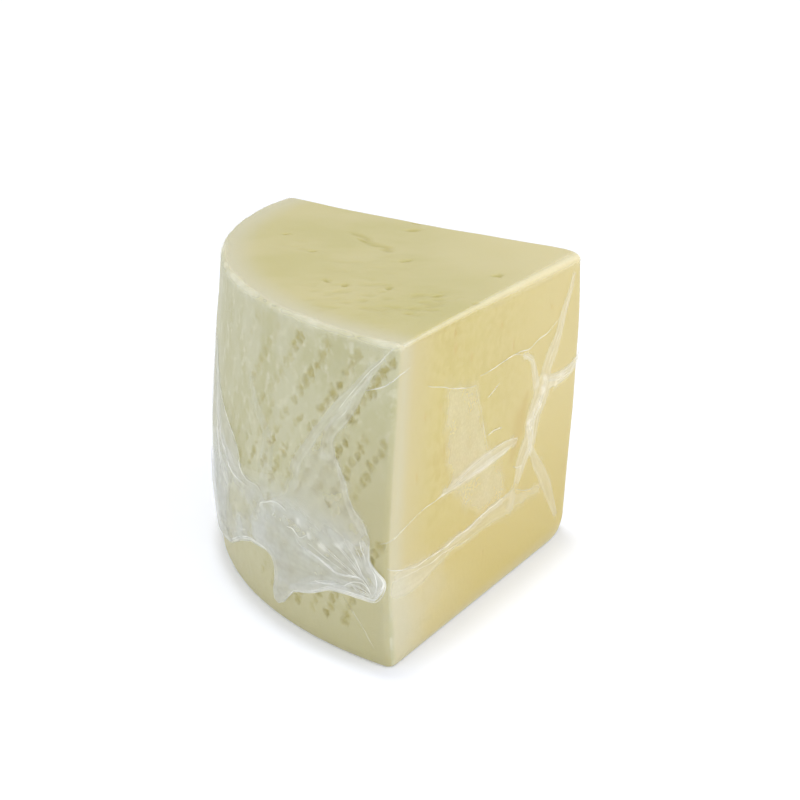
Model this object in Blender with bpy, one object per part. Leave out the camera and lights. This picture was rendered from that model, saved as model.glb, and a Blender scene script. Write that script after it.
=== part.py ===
"""Quarter of a hard sheep's milk cheese, wrapped tight in clear stretch film.

The wedge stands on the flat side of its wheel. Its thin end, on the wheel's axis, is towards +X,
its rind is towards -X, and its two cut faces meet the rind at a front corner (-Y) and a back
corner (+Y). The origin is on the base, below the middle of the whole.
"""
import math

import bmesh
import bpy
from mathutils import Vector, noise
from mathutils.geometry import delaunay_2d_cdt

MM = 0.001

# The wheel and the cut.
WHEEL_RADIUS = 155 * MM
HEIGHT = 128 * MM
WEDGE_ANGLE = math.radians(91)
HALF_ANGLE = WEDGE_ANGLE / 2
RIND_SWELL = 4.0 * MM           # how far the rind stands out at mid-height
SWELL_LOW = 0.5                 # how much fuller the rind is below mid-height than above
TOP_RISE = 0.8 * MM             # the sawn top rises this much along the front cut
TOP_DIP = 1.1 * MM              # and sinks this much along the back cut
TIP_BOW = 1.4 * MM              # the thin end leans out this much two thirds of the way up
TIP_BOW_REACH = 70 * MM         # the lean ends this far from the wheel's axis
TIP_TUCK = 6.0 * MM             # how far the bottom corner of the thin end is drawn in
TIP_TUCK_RISE = 9.0 * MM         # the height up to which it is
TIP_TUCK_REACH = 24 * MM        # and how far from the wheel's axis
TIP_DROOP = 0.9 * MM            # how far the top sinks at the thin end
TIP_DROOP_REACH = 20 * MM       # and how far from the wheel's axis it starts to
TIP_ROUNDING = 11.5 * MM        # the thin end, seen from above
CORNER_ROUNDING = 3.5 * MM      # where a cut face meets the rind, seen from above
EDGE_ROUNDING = 1.9 * MM        # top and bottom edges

# The film. It is thicker here than the real one, so that it has a shape.
FILM_GAP = 0.3 * MM             # clear of the cheese
FILM_WALL = 0.6 * MM
FILM_OUTER = FILM_GAP + FILM_WALL
FILM_FOOT = 0.6 * MM            # the film's lower rim is this far above the floor
FILM_ROOT = FILM_GAP + 0.25 * MM  # pleats and the gather start here, inside the film's wall
PLEAT_STEP = 6.0 * MM           # spacing of the sections along a pleat

# Steps of the wedge's outline and height.
TIP_STEPS = 6
CORNER_STEPS = 3
FACE_STEPS = 9
RIND_STEPS = 30
EDGE_STEPS = 3
WALL_STEPS = 10
CAP_RINGS = (0.15, 0.5)

# Slanting rows of pits pressed into the rind by the mould: height of a row's lowest and highest
# pit, how far it leans towards the front corner, distance between rows, and between the pits of
# one row, pit width and pit height.
PIT_BANDS = (
    (97 * MM, 121 * MM, 15 * MM, 14.5 * MM, 4.9 * MM, 3.3 * MM, 3.9 * MM),
    (61 * MM, 91 * MM, 16 * MM, 8.2 * MM, 3.7 * MM, 2.5 * MM, 2.9 * MM),
    (15 * MM, 52 * MM, 17 * MM, 8.2 * MM, 3.9 * MM, 2.5 * MM, 2.9 * MM),
)
PIT_SCATTER = 0.8 * MM          # how far a pit may stray from its row
PIT_DEPTH = 1.3 * MM
PIT_START = 4 * MM              # the first row's top, along the rind from the front corner
PIT_END = 130 * MM
PIT_CLEAR = 40 * MM             # pits are clear up to here, and fade out over the next stretch
PIT_FADING = 75 * MM
PIT_FAINT = 0.75                # pits fainter than this are too shallow to cut

# Eyes and cracks in the sawn top: x and y from the wheel's axis, length, width, turn.
TOP_EYES = (
    (-91, 30, 9, 2.4, 115), (-81, -4, 6, 2.6, 20), (-97, -42, 5, 2.6, 60), (-69, -68, 4, 2.4, 0),
    (-49, -31, 6, 2.4, 70), (-122, 45, 4, 2.2, 30), (-116, 16, 4, 2.0, 0), (-61, 59, 5, 2.0, 140),
    (-119, -28, 5, 2.2, 100), (-97, -75, 4, 2.2, 10),
)
EYE_DEPTH = 1.0 * MM

# Pleats on the front cut face: bends as distance from the wheel's axis and height, in mm, then
# the pleat's greatest width and height in mm.
CUT_PLEATS = (
    (((14, 120), (22, 110), (30, 99), (35, 87), (39, 82)), 2.4, 1.0),
    (((10, 83), (20, 80), (28, 80), (39, 82)), 2.4, 1.2),
    (((39, 82), (41, 73), (51, 67), (49, 54), (57, 46), (61, 40)), 4.0, 2.2),
    (((48, 52), (37, 40), (30, 32), (22, 20), (16, 9)), 2.6, 1.1),
    (((60, 40), (57, 39), (48, 36), (39, 34)), 2.4, 0.9),
    (((61, 38), (70, 36), (94, 35), (120, 34), (131, 35), (142, 37), (151, 39)), 4.6, 1.5),
    (((60, 63), (80, 62), (104, 61), (120, 60), (139, 59), (153, 56)), 3.0, 1.1),
    (((41, 83), (49, 91), (51, 96), (61, 100), (81, 100), (104, 101)), 1.6, 0.7),
)

# Pleats on the rind: bends as distance along the rind from the front corner and height.
RIND_PLEATS = (
    (((4, 125), (11, 117), (21, 106), (34, 91), (44, 78), (51, 64)), 3.0, 1.1),
    (((3, 114), (8, 112), (19, 100), (30, 86), (40, 72), (46, 62)), 3.0, 1.1),
    (((110, 78), (106, 61), (98, 56), (90, 53), (76, 54), (60, 50), (41, 44)), 3.0, 1.6),
    (((40, 42), (31, 39), (23, 36), (9, 38)), 3.0, 1.6),
)

# The bunched tail of the film on the rind: its outline, and the thick rolled stretch of its rim.
GATHER_OUTLINE = (
    (26, 86), (23, 76), (17, 65), (11, 59), (8, 52), (7, 44), (4, 40), (3, 34), (7, 29), (22, 28),
    (35, 22), (46, 15), (57, 8), (61, 10), (57, 26), (68, 30), (82, 24), (98, 16), (117, 10),
    (133, 14), (139, 30), (136, 46), (127, 57), (113, 66), (104, 60), (90, 55), (66, 57), (52, 68),
    (39, 80),
)
GATHER_RIM = (
    (23, 76), (17, 65), (11, 59), (8, 48), (4, 41), (3, 34), (8, 29), (23, 28), (35, 22), (57, 8),
)
GATHER_STEP = 4.6 * MM
GATHER_LIFT = 1.4 * MM
GATHER_CRUMPLE = 2.6 * MM
CRUMPLE_SIZE = 13 * MM
RIM_WIDTH = 3.4
RIM_HEIGHT = 3.0

# Where the wheel's axis stands, so that the whole is centred on the origin.
GATHER_PROUD = 4.0 * MM         # how far the tail stands out where the rind reaches furthest
TIP_INSET = TIP_ROUNDING * (1 / math.sin(HALF_ANGLE) - 1)
AXIS_X = (WHEEL_RADIUS + RIND_SWELL + GATHER_PROUD + TIP_INSET - TIP_BOW) / 2

# sRGB colours of the two materials.
CHEESE_COLOUR = (0.86, 0.82, 0.62)
FILM_COLOUR = (0.80, 0.81, 0.77)


# ---------------------------------------------------------------- the wedge's shape

def polar(angle, radius):
    return Vector((math.cos(angle), math.sin(angle))) * radius


def outline_stations():
    """Stations round the wedge, anticlockwise from above: (centre, outward angle, radius)."""
    stations = []
    tip = Vector((-TIP_ROUNDING / math.sin(HALF_ANGLE), 0))
    back_out = math.pi / 2 - HALF_ANGLE
    for i in range(TIP_STEPS + 1):
        stations.append((tip, back_out * (2 * i / TIP_STEPS - 1), TIP_ROUNDING))

    corner_reach = WHEEL_RADIUS - CORNER_ROUNDING
    corner_turn = math.asin(CORNER_ROUNDING / corner_reach)
    face_start = TIP_ROUNDING / math.tan(HALF_ANGLE)
    face_end = corner_reach * math.cos(corner_turn)
    back = polar(math.pi - HALF_ANGLE, 1)
    front = polar(math.pi + HALF_ANGLE, 1)
    for i in range(1, FACE_STEPS):
        reach = face_start + (face_end - face_start) * i / FACE_STEPS
        stations.append((back * reach, back_out, 0))

    first = math.pi - HALF_ANGLE + corner_turn
    last = math.pi + HALF_ANGLE - corner_turn
    for i in range(CORNER_STEPS + 1):
        turn = back_out + (first - back_out) * i / CORNER_STEPS
        stations.append((polar(first, corner_reach), turn, CORNER_ROUNDING))
    for i in range(1, RIND_STEPS):
        turn = first + (last - first) * i / RIND_STEPS
        stations.append((Vector((0, 0)), turn, WHEEL_RADIUS))
    front_out = 2 * math.pi - back_out
    for i in range(CORNER_STEPS + 1):
        turn = last + (front_out - last) * i / CORNER_STEPS
        stations.append((polar(last, corner_reach), turn, CORNER_ROUNDING))
    for i in range(1, FACE_STEPS):
        reach = face_end + (face_start - face_end) * i / FACE_STEPS
        stations.append((front * reach, front_out, 0))
    return stations


def rind_swell(z):
    """How far the rind stands out of a straight cylinder at height z."""
    t = min(max(z / HEIGHT, 0), 1)
    return 4 * t * (1 - t) * (1 + SWELL_LOW * (1 - 2 * t)) * RIND_SWELL


def top_lift(x, y):
    """How far the sawn top lies above its level, or below it where this is negative."""
    reach = min(math.hypot(x, y) / WHEEL_RADIUS, 1)
    front = (1 - math.atan2(y, -x) / HALF_ANGLE) / 2
    rise = TOP_RISE * 6.75 * reach ** 2 * (1 - reach)
    dip = TOP_DIP * 4 * reach * (1 - reach)
    near = max(1 - math.hypot(x, y) / TIP_DROOP_REACH, 0)
    return rise * front - dip * (1 - front) - TIP_DROOP * near * near


def tip_lean(x, y, z):
    """How far the thin end leans out at one point of it, or is drawn in where negative."""
    t = min(max(z / HEIGHT, 0), 1)
    near = max(1 - math.hypot(x, y) / TIP_BOW_REACH, 0)
    bow = TIP_BOW * 6.75 * t * t * (1 - t) * near * near * (3 - 2 * near)
    close = max(1 - math.hypot(x, y) / TIP_TUCK_REACH, 0)
    low = max(1 - max(z, 0) / TIP_TUCK_RISE, 0)
    return bow - TIP_TUCK * close * close * low * low


def shaped(x, y, z):
    """A point of the straight-sided wedge, moved to where the real one has it."""
    reach = min(math.hypot(x, y) / WHEEL_RADIUS, 1)
    spread = 1 + rind_swell(z) / WHEEL_RADIUS * reach ** 2
    upper = min(max(z / HEIGHT * 3 - 2, 0), 1)
    lean = tip_lean(x, y, z)
    return Vector((AXIS_X + x * spread + lean, y * spread, z + upper * top_lift(x, y)))


def on_rind(along, z, lift):
    """A point on the rind: along is measured from the front corner."""
    turn = math.pi + HALF_ANGLE - along / WHEEL_RADIUS
    spot = polar(turn, WHEEL_RADIUS + lift)
    return shaped(spot.x, spot.y, z)


def on_front_cut(reach, z, lift):
    """A point on the front cut face: reach is measured from the wheel's axis."""
    spot = polar(math.pi + HALF_ANGLE, reach) + polar(HALF_ANGLE - math.pi / 2, lift)
    return shaped(spot.x, spot.y, z)


# ---------------------------------------------------------------- meshes

def new_object(name, bm):
    """Makes an object of a finished bmesh, with its faces turned outwards."""
    bmesh.ops.recalc_face_normals(bm, faces=bm.faces)
    bmesh.ops.triangulate(bm, faces=bm.faces)
    mesh = bpy.data.meshes.new(name)
    bm.to_mesh(mesh)
    bm.free()
    obj = bpy.data.objects.new(name, mesh)
    bpy.context.scene.collection.objects.link(obj)
    return obj


def skin(bm, offset, foot):
    """Lofts the wedge's wall and top, offset outwards, from height foot up. Returns its rim."""
    stations = outline_stations()
    bend = EDGE_ROUNDING + offset
    start = math.asin(max((foot - EDGE_ROUNDING) / bend, -1))
    levels = []
    for i in range(EDGE_STEPS):
        turn = start * (1 - i / EDGE_STEPS)
        levels.append((EDGE_ROUNDING, turn))
    for i in range(WALL_STEPS):
        z = EDGE_ROUNDING + (HEIGHT - 2 * EDGE_ROUNDING) * i / WALL_STEPS
        levels.append((z, 0))
    for i in range(EDGE_STEPS + 1):
        levels.append((HEIGHT - EDGE_ROUNDING, math.pi / 2 * i / EDGE_STEPS))

    rows = []
    for z, turn in levels:
        inset = bend * math.cos(turn) - EDGE_ROUNDING
        row = []
        for centre, out, radius in stations:
            spot = centre + polar(out, radius + inset)
            row.append(bm.verts.new(shaped(spot.x, spot.y, z + bend * math.sin(turn))))
        rows.append(row)

    middle = Vector((-0.55 * WHEEL_RADIUS, 0))
    for share in CAP_RINGS:
        row = []
        for centre, out, radius in stations:
            spot = (centre + polar(out, radius - EDGE_ROUNDING)).lerp(middle, share)
            row.append(bm.verts.new(shaped(spot.x, spot.y, HEIGHT + offset)))
        rows.append(row)

    for low, high in zip(rows, rows[1:]):
        for i in range(len(low)):
            j = (i + 1) % len(low)
            bm.faces.new((low[i], low[j], high[j], high[i]))
    hub = bm.verts.new(shaped(middle.x, middle.y, HEIGHT + offset))
    last = rows[-1]
    for i in range(len(last)):
        bm.faces.new((last[i], last[(i + 1) % len(last)], hub))
    return rows[0]


def joined(obj, operation, others):
    """Joins other solids to an object, or cuts them out of it, and drops them."""
    group = bpy.data.collections.new(obj.name + "_pieces")
    bpy.context.scene.collection.children.link(group)
    for other in others:
        group.objects.link(other)
    boolean = obj.modifiers.new(operation.lower(), "BOOLEAN")
    boolean.operation = operation
    boolean.solver = "EXACT"
    boolean.operand_type = "COLLECTION"
    boolean.collection = group
    bpy.context.view_layer.update()
    evaluated = obj.evaluated_get(bpy.context.evaluated_depsgraph_get())
    mesh = bpy.data.meshes.new_from_object(evaluated)
    obj.modifiers.clear()
    obj.data = mesh
    for other in others:
        bpy.data.objects.remove(other)
    bpy.data.collections.remove(group)


# ---------------------------------------------------------------- the cheese

def add_pit(bm, place, normal, across, upright, sizes, depth):
    """Adds a cutter for one pit: a tapered plug, wide outside the surface and blunt inside."""
    sides = 6
    rings = []
    for share, level in ((1.18, 0.45 * depth), (0.45, -depth)):
        ring = []
        for i in range(sides):
            turn = 2 * math.pi * i / sides
            spot = across * (math.cos(turn) * sizes[0]) + upright * (math.sin(turn) * sizes[1])
            ring.append(bm.verts.new(place + spot * share / 2 + normal * level))
        rings.append(ring)
    outer, inner = rings
    bm.faces.new(outer)
    bm.faces.new(reversed(inner))
    for i in range(sides):
        j = (i + 1) % sides
        bm.faces.new((outer[i], inner[i], inner[j], outer[j]))


def pit_strength(along, z):
    """How clearly a pit was pressed: 1 near the front corner, fading and patchy further round."""
    patch = noise.noise(Vector((along / (24 * MM), z / (24 * MM), 3.7)))
    fade = 1 - max(along - PIT_CLEAR, 0) / PIT_FADING
    return min(max(fade + 0.7 * patch, 0), 1)


def rind_pits():
    """The pits of the slanting rows, as (along, z, width, height, strength)."""
    for low, high, lean, gap, pitch, width, height in PIT_BANDS:
        count = round(math.hypot(high - low, lean) / pitch)
        for row in range(int((PIT_END - PIT_START) / gap)):
            for i in range(count + 1):
                share = i / count
                spot = Vector((row * 3.1, i * 2.3, low / MM))
                along = PIT_START + row * gap + lean * (1 - share) + PIT_SCATTER * noise.noise(spot)
                z = low + (high - low) * share + PIT_SCATTER * noise.noise(spot * 1.7)
                yield along, z, width, height, pit_strength(along, z)


def cheese():
    bm = bmesh.new()
    base = skin(bm, 0, 0)
    bm.faces.new(reversed(base))
    body = new_object("cheese", bm)

    cut = bmesh.new()
    up = Vector((0, 0, 1))
    for along, z, width, height, strength in rind_pits():
        if strength < PIT_FAINT:
            continue
        normal = (on_rind(along, z, 1 * MM) - on_rind(along, z, 0)).normalized()
        sizes = (width, height)
        add_pit(cut, on_rind(along, z, 0), normal, up.cross(normal), up, sizes, PIT_DEPTH * strength)
    for x, y, length, width, turn in TOP_EYES:
        way = Vector((math.cos(math.radians(turn)), math.sin(math.radians(turn)), 0))
        sizes = (length * MM, width * MM)
        add_pit(cut, shaped(x * MM, y * MM, HEIGHT), up, way, up.cross(way), sizes, EYE_DEPTH)
    joined(body, "DIFFERENCE", [new_object("cheese_pits", cut)])
    return body


# ---------------------------------------------------------------- the film

def smooth_path(bends, step):
    """Points about a step apart on a smooth curve through the bends, in metres."""
    knots = [Vector(bend) * MM for bend in bends]
    knots = [knots[0] * 2 - knots[1]] + knots + [knots[-1] * 2 - knots[-2]]
    points = []
    for a, b, c, d in zip(knots, knots[1:], knots[2:], knots[3:]):
        count = max(1, round((c - b).length / step))
        for i in range(count):
            t = i / count
            points.append(0.5 * (2 * b + (c - a) * t + (2 * a - 5 * b + 4 * c - d) * t ** 2
                                 + (3 * b - a - 3 * c + d) * t ** 3))
    points.append(knots[-2])
    return points


def pleat(name, place, bends, width, height):
    """A ridge of folded film along a route on a face, thin at both ends."""
    path = smooth_path(bends, PLEAT_STEP)
    bm = bmesh.new()
    rows = []
    for i, (u, z) in enumerate(path):
        before = path[max(i - 1, 0)]
        after = path[min(i + 1, len(path) - 1)]
        root = place(u, z, FILM_ROOT)
        out = (place(u, z, FILM_ROOT + 1 * MM) - root).normalized()
        way = place(after.x, after.y, FILM_ROOT) - place(before.x, before.y, FILM_ROOT)
        side = way.cross(out).normalized()
        fullness = 0.25 + 0.75 * math.sqrt(abs(math.sin(math.pi * i / (len(path) - 1))))
        half = width * MM / 2 * fullness
        crest = (FILM_OUTER - FILM_ROOT) + height * MM * fullness
        shape = ((-1, 0), (-0.6, 0.72), (0, 1), (0.6, 0.72), (1, 0))
        rows.append([bm.verts.new(root + side * a * half + out * b * crest) for a, b in shape])
    for low, high in zip(rows, rows[1:]):
        for i in range(len(low)):
            j = (i + 1) % len(low)
            bm.faces.new((low[i], low[j], high[j], high[i]))
    bm.faces.new(rows[0])
    bm.faces.new(reversed(rows[-1]))
    return new_object(name, bm)


def gather_lift(u, z):
    """Height of the bunched film above the wrapped surface at one point of the rind."""
    spot = Vector((u / CRUMPLE_SIZE, z / CRUMPLE_SIZE, 1.3))
    fold = 1 - abs(noise.noise(spot)) * 2
    crease = 1 - abs(noise.noise(spot * 2.3)) * 2
    return GATHER_LIFT + GATHER_CRUMPLE * max(0.6 * fold + 0.4 * crease, 0) ** 2


def gather():
    """The bunched tail: a crumpled slab laid on the wrapped rind."""
    edge = smooth_path(GATHER_OUTLINE + GATHER_OUTLINE[:1], GATHER_STEP)[:-1]
    width = max(point.x for point in edge)
    height = max(point.y for point in edge)
    spots = list(edge)
    for i in range(int(width / GATHER_STEP)):
        for j in range(int(height / GATHER_STEP)):
            spot = Vector((i + 0.5 * (j % 2), j)) * GATHER_STEP
            if min((spot - point).length for point in edge) > 0.6 * GATHER_STEP:
                spots.append(spot)
    border = [(i, (i + 1) % len(edge)) for i in range(len(edge))]
    flat, _, faces, _, _, _ = delaunay_2d_cdt(spots, border, [], 1, 1e-7)

    bm = bmesh.new()
    under = [bm.verts.new(on_rind(p.x, p.y, FILM_ROOT)) for p in flat]
    over = []
    for p in flat:
        inner = min((p - point).length for point in edge) / (2 * GATHER_STEP)
        lift = 0.7 * MM + (gather_lift(p.x, p.y) - 0.7 * MM) * min(inner, 1)
        over.append(bm.verts.new(on_rind(p.x, p.y, FILM_OUTER + lift)))
    for face in faces:
        bm.faces.new([over[i] for i in face])
        bm.faces.new([under[i] for i in reversed(face)])
    for a, b in [tuple(e.verts) for e in bm.edges if e.is_boundary and e.verts[0] in over]:
        i, j = over.index(a), over.index(b)
        bm.faces.new((a, b, under[j], under[i]))
    for vert in [v for v in bm.verts if not v.link_faces]:
        bm.verts.remove(vert)
    return new_object("film_gather", bm)


def film():
    bm = bmesh.new()
    outer = skin(bm, FILM_OUTER, FILM_FOOT)
    inner = skin(bm, FILM_GAP, FILM_FOOT)
    for i in range(len(outer)):
        j = (i + 1) % len(outer)
        bm.faces.new((outer[j], outer[i], inner[i], inner[j]))
    hood = new_object("film", bm)

    pieces = [gather()]
    pieces.append(pleat("film_rim", on_rind, GATHER_RIM, RIM_WIDTH, RIM_HEIGHT))
    for i, (bends, width, height) in enumerate(RIND_PLEATS):
        pieces.append(pleat(f"film_rind_pleat_{i}", on_rind, bends, width, height))
    for i, (bends, width, height) in enumerate(CUT_PLEATS):
        pieces.append(pleat(f"film_cut_pleat_{i}", on_front_cut, bends, width, height))
    joined(hood, "UNION", pieces)
    return hood


# ---------------------------------------------------------------- materials

def to_linear(channel):
    return channel / 12.92 if channel <= 0.04045 else ((channel + 0.055) / 1.055) ** 2.4


def finish(obj, name, colour, roughness, alpha):
    material = bpy.data.materials.new(name)
    material.use_nodes = True
    shader = material.node_tree.nodes["Principled BSDF"]
    shader.inputs["Base Color"].default_value = [to_linear(c) for c in colour] + [1]
    shader.inputs["Roughness"].default_value = roughness
    shader.inputs["Metallic"].default_value = 0
    shader.inputs["Alpha"].default_value = alpha
    obj.data.materials.clear()
    obj.data.materials.append(material)
    obj.data.shade_smooth()
    obj.data.set_sharp_from_angle(angle=math.radians(35))


def main():
    for obj in list(bpy.data.objects):
        bpy.data.objects.remove(obj)
    finish(cheese(), "pressed_cheese", CHEESE_COLOUR, 0.45, 1)
    finish(film(), "stretch_film", FILM_COLOUR, 0.12, 0.35)


main()
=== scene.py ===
"""Looks of a quarter of pecorino romano in clear stretch film.

Every piece is shaped as a straight-sided wedge on the wheel's axis first, because routes and
marks are easy to place there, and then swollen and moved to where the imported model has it. The
film's folds are laid out flat - along the wall, up it and off it - and then wrapped on.
"""
import math

import bpy
import numpy as np
from mathutils import Matrix, Vector, noise


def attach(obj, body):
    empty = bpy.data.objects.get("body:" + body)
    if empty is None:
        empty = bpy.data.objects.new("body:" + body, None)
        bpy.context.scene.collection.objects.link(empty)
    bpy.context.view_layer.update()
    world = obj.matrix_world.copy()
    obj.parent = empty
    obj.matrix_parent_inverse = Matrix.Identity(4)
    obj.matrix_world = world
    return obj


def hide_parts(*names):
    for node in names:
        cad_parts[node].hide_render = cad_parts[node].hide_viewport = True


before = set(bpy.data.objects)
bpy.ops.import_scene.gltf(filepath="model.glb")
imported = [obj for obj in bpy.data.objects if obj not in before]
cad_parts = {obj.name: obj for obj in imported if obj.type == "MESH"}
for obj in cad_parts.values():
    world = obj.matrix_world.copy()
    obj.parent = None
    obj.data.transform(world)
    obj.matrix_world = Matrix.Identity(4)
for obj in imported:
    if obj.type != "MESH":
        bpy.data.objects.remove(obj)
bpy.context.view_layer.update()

MM = 0.001

# The wheel and the cut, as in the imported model.
WHEEL_RADIUS = 155 * MM
HEIGHT = 128 * MM
HALF_ANGLE = math.radians(91) / 2
RIND_SWELL = 4.0 * MM
SWELL_LOW = 0.5
TOP_RISE = 0.8 * MM
TOP_DIP = 1.1 * MM
TIP_BOW = 1.4 * MM
TIP_BOW_REACH = 70 * MM
TIP_TUCK = 6.0 * MM
TIP_TUCK_RISE = 9.0 * MM
TIP_TUCK_REACH = 24 * MM
TIP_DROOP = 0.9 * MM
TIP_DROOP_REACH = 20 * MM
TIP_ROUNDING = 11.5 * MM
CORNER_ROUNDING = 3.5 * MM
EDGE_ROUNDING = 1.9 * MM
TIP_INSET = TIP_ROUNDING * (1 / math.sin(HALF_ANGLE) - 1)
GATHER_PROUD = 4.0 * MM
AXIS_X = (WHEEL_RADIUS + RIND_SWELL + GATHER_PROUD + TIP_INSET - TIP_BOW) / 2

# How near a wall, and how near the rind, a point has to be to count as on it, the step over which
# slopes are measured, how often points are moved to settle on a surface, a length that is next to
# nothing, and one that is out of reach.
WALL_BAND = 1.5 * MM
RIND_BAND = 1.2 * MM
SLOPE_STEP = 0.05 * MM
SETTLINGS = 4
TINY = 1e-9
FAR_AWAY = 1.0

# The camera, as the photograph's edges place it, measured from the wheel's axis.
CAMERA_EYE = Vector((-242.9, -642.3, 314.6)) * MM
CAMERA_YAW = math.radians(14.167)
CAMERA_PITCH = math.radians(20.609)
CAMERA_ROLL = math.radians(1.745)
CAMERA_LENS = 74.87


# ---------------------------------------------------------------- the wedge's shape

def arch(t):
    """0 where t is 0 or 1, and 1 halfway."""
    return 4 * t * (1 - t)


def hump(t):
    """0 where t is 0 or 1, and 1 two thirds of the way."""
    return 6.75 * t ** 2 * (1 - t)


def fade(value, start, end):
    """0 where the value is at start, 1 where it is at end, smooth between."""
    t = np.clip((value - start) / (end - start), 0, 1)
    return t * t * (3 - 2 * t)


def rounded(a, b, radius):
    """The larger of two distances, with a rounding where both surfaces meet."""
    both = np.hypot(np.maximum(a + radius, 0), np.maximum(b + radius, 0)) - radius
    return np.where((a > -radius) & (b > -radius), both, np.maximum(a, b))


def wedge_distance(p):
    """Distance of points from the straight-sided wedge, negative inside it."""
    back_cut = math.sin(HALF_ANGLE) * p[:, 0] + math.cos(HALF_ANGLE) * p[:, 1]
    front_cut = math.sin(HALF_ANGLE) * p[:, 0] - math.cos(HALF_ANGLE) * p[:, 1]
    rind = np.hypot(p[:, 0], p[:, 1]) - WHEEL_RADIUS
    plan = rounded(rounded(back_cut, front_cut, TIP_ROUNDING), rind, CORNER_ROUNDING)
    slab = np.abs(p[:, 2] - HEIGHT / 2) - HEIGHT / 2
    return rounded(plan, slab, EDGE_ROUNDING)


def wedge_normal(p):
    """Outward direction of the straight-sided wedge's surface near points."""
    steps = np.eye(3) * SLOPE_STEP
    slopes = [wedge_distance(p + step) - wedge_distance(p - step) for step in steps]
    slopes = np.stack(slopes, axis=1)
    return slopes / np.maximum(np.linalg.norm(slopes, axis=1, keepdims=True), TINY)


def settled(p, offset):
    """Points moved onto the straight-sided wedge's surface, or that far outside it."""
    for _ in range(SETTLINGS):
        p = p - (wedge_distance(p) - offset)[:, None] * wedge_normal(p)
    return p


def swollen(p):
    """Points of the straight-sided wedge, moved to where the real one has them: the rind swells,
    the sawn top rises and dips, and the thin end bows, droops and is tucked in at its foot."""
    radius = np.hypot(p[:, 0], p[:, 1])
    reach = np.minimum(radius / WHEEL_RADIUS, 1)
    t = np.clip(p[:, 2] / HEIGHT, 0, 1)
    swell = arch(t) * (1 + SWELL_LOW * (1 - 2 * t)) * RIND_SWELL
    spread = 1 + swell / WHEEL_RADIUS * reach ** 2
    front = (1 - np.arctan2(p[:, 1], -p[:, 0]) / HALF_ANGLE) / 2
    lift = TOP_RISE * hump(reach) * front - TOP_DIP * arch(reach) * (1 - front)
    lift = lift - TIP_DROOP * np.maximum(1 - radius / TIP_DROOP_REACH, 0) ** 2
    lean = TIP_BOW * hump(t) * fade(1 - radius / TIP_BOW_REACH, 0, 1)
    low = np.maximum(1 - np.maximum(p[:, 2], 0) / TIP_TUCK_RISE, 0)
    lean = lean - TIP_TUCK * np.maximum(1 - radius / TIP_TUCK_REACH, 0) ** 2 * low ** 2
    upper = np.clip(t * 3 - 2, 0, 1)
    return np.stack((AXIS_X + p[:, 0] * spread + lean, p[:, 1] * spread,
                     p[:, 2] + upper * lift), axis=1)


def wrapped(flat):
    """Flat points - along the wall, up it and off it - laid round the straight-sided wedge.
    Along runs from the front corner: round the rind where it is positive, and over the front
    cut face towards the thin end where it is negative."""
    along, height, lift = flat.T
    turn = math.pi + HALF_ANGLE - np.maximum(along, 0) / WHEEL_RADIUS
    reach = WHEEL_RADIUS + np.minimum(along, 0)
    wall = np.stack((np.cos(turn) * reach, np.sin(turn) * reach, height), axis=1)
    wall = settled(wall, 0)
    return wall + wedge_normal(wall) * lift[:, None]


def flat_place(p):
    """The reverse of wrapped, without the distance off the wall. Points that are on neither the
    rind nor the front cut face come out far away."""
    radius = np.hypot(p[:, 0], p[:, 1])
    turn = (HALF_ANGLE - np.arctan2(-p[:, 1], -p[:, 0])) * WHEEL_RADIUS
    front_cut = math.sin(HALF_ANGLE) * p[:, 0] - math.cos(HALF_ANGLE) * p[:, 1]
    by_rind = radius > WHEEL_RADIUS - WALL_BAND
    by_cut = (front_cut > -WALL_BAND) & ~by_rind
    along = np.where(by_rind, turn, np.where(by_cut, radius - WHEEL_RADIUS, FAR_AWAY))
    return np.stack((along, p[:, 2]), axis=1)


# ---------------------------------------------------------------- patterns

def soft_noise(p, size, seed):
    """Soft noise from -1 to 1 at each point, with features about that size. The size may be one
    number or one for each direction."""
    shift = np.array((seed, seed * 1.7, seed * 2.3))
    return np.array([noise.noise(spot) for spot in p / np.asarray(size) + shift])


def on_flat(flat):
    """Flat points with a third place of nought, as soft_noise takes them."""
    return np.column_stack((flat, np.zeros(len(flat))))


def spread_over(flat, along, height, wide, tall):
    """How far flat points are from the middle of an oval, where its outline is at 1."""
    return np.hypot(*((flat / MM - (along, height)) / (wide, tall)).T)


def smooth_route(bends, step):
    """Points about a step apart on a smooth curve through the bends, in metres."""
    knots = np.array(bends, float) * MM
    knots = np.vstack((2 * knots[0] - knots[1], knots, 2 * knots[-1] - knots[-2]))
    points = []
    for a, b, c, d in zip(knots, knots[1:], knots[2:], knots[3:]):
        count = max(1, round(np.linalg.norm(c - b) / step))
        for t in np.arange(count) / count:
            points.append(0.5 * (2 * b + (c - a) * t + (2 * a - 5 * b + 4 * c - d) * t ** 2
                                 + (3 * b - a - 3 * c + d) * t ** 3))
    points.append(knots[-2])
    return np.array(points)


def beside(flat, route):
    """For each flat point its distance from a route, with a sign for the side, and how far along
    the route its nearest spot is, and the route's length, all in metres."""
    best = np.full(len(flat), np.inf)
    side = np.zeros(len(flat))
    travel = np.zeros(len(flat))
    walked = 0.0
    for a, b in zip(route, route[1:]):
        way = b - a
        length = np.linalg.norm(way)
        off = flat - a
        t = np.clip(off @ way / length ** 2, 0, 1)
        away = np.linalg.norm(off - t[:, None] * way, axis=1)
        closer = away < best
        best[closer] = away[closer]
        side[closer] = np.sign(way[0] * off[closer, 1] - way[1] * off[closer, 0])
        travel[closer] = walked + t[closer] * length
        walked += length
    return best * np.where(side < 0, -1, 1), travel, walked


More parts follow.
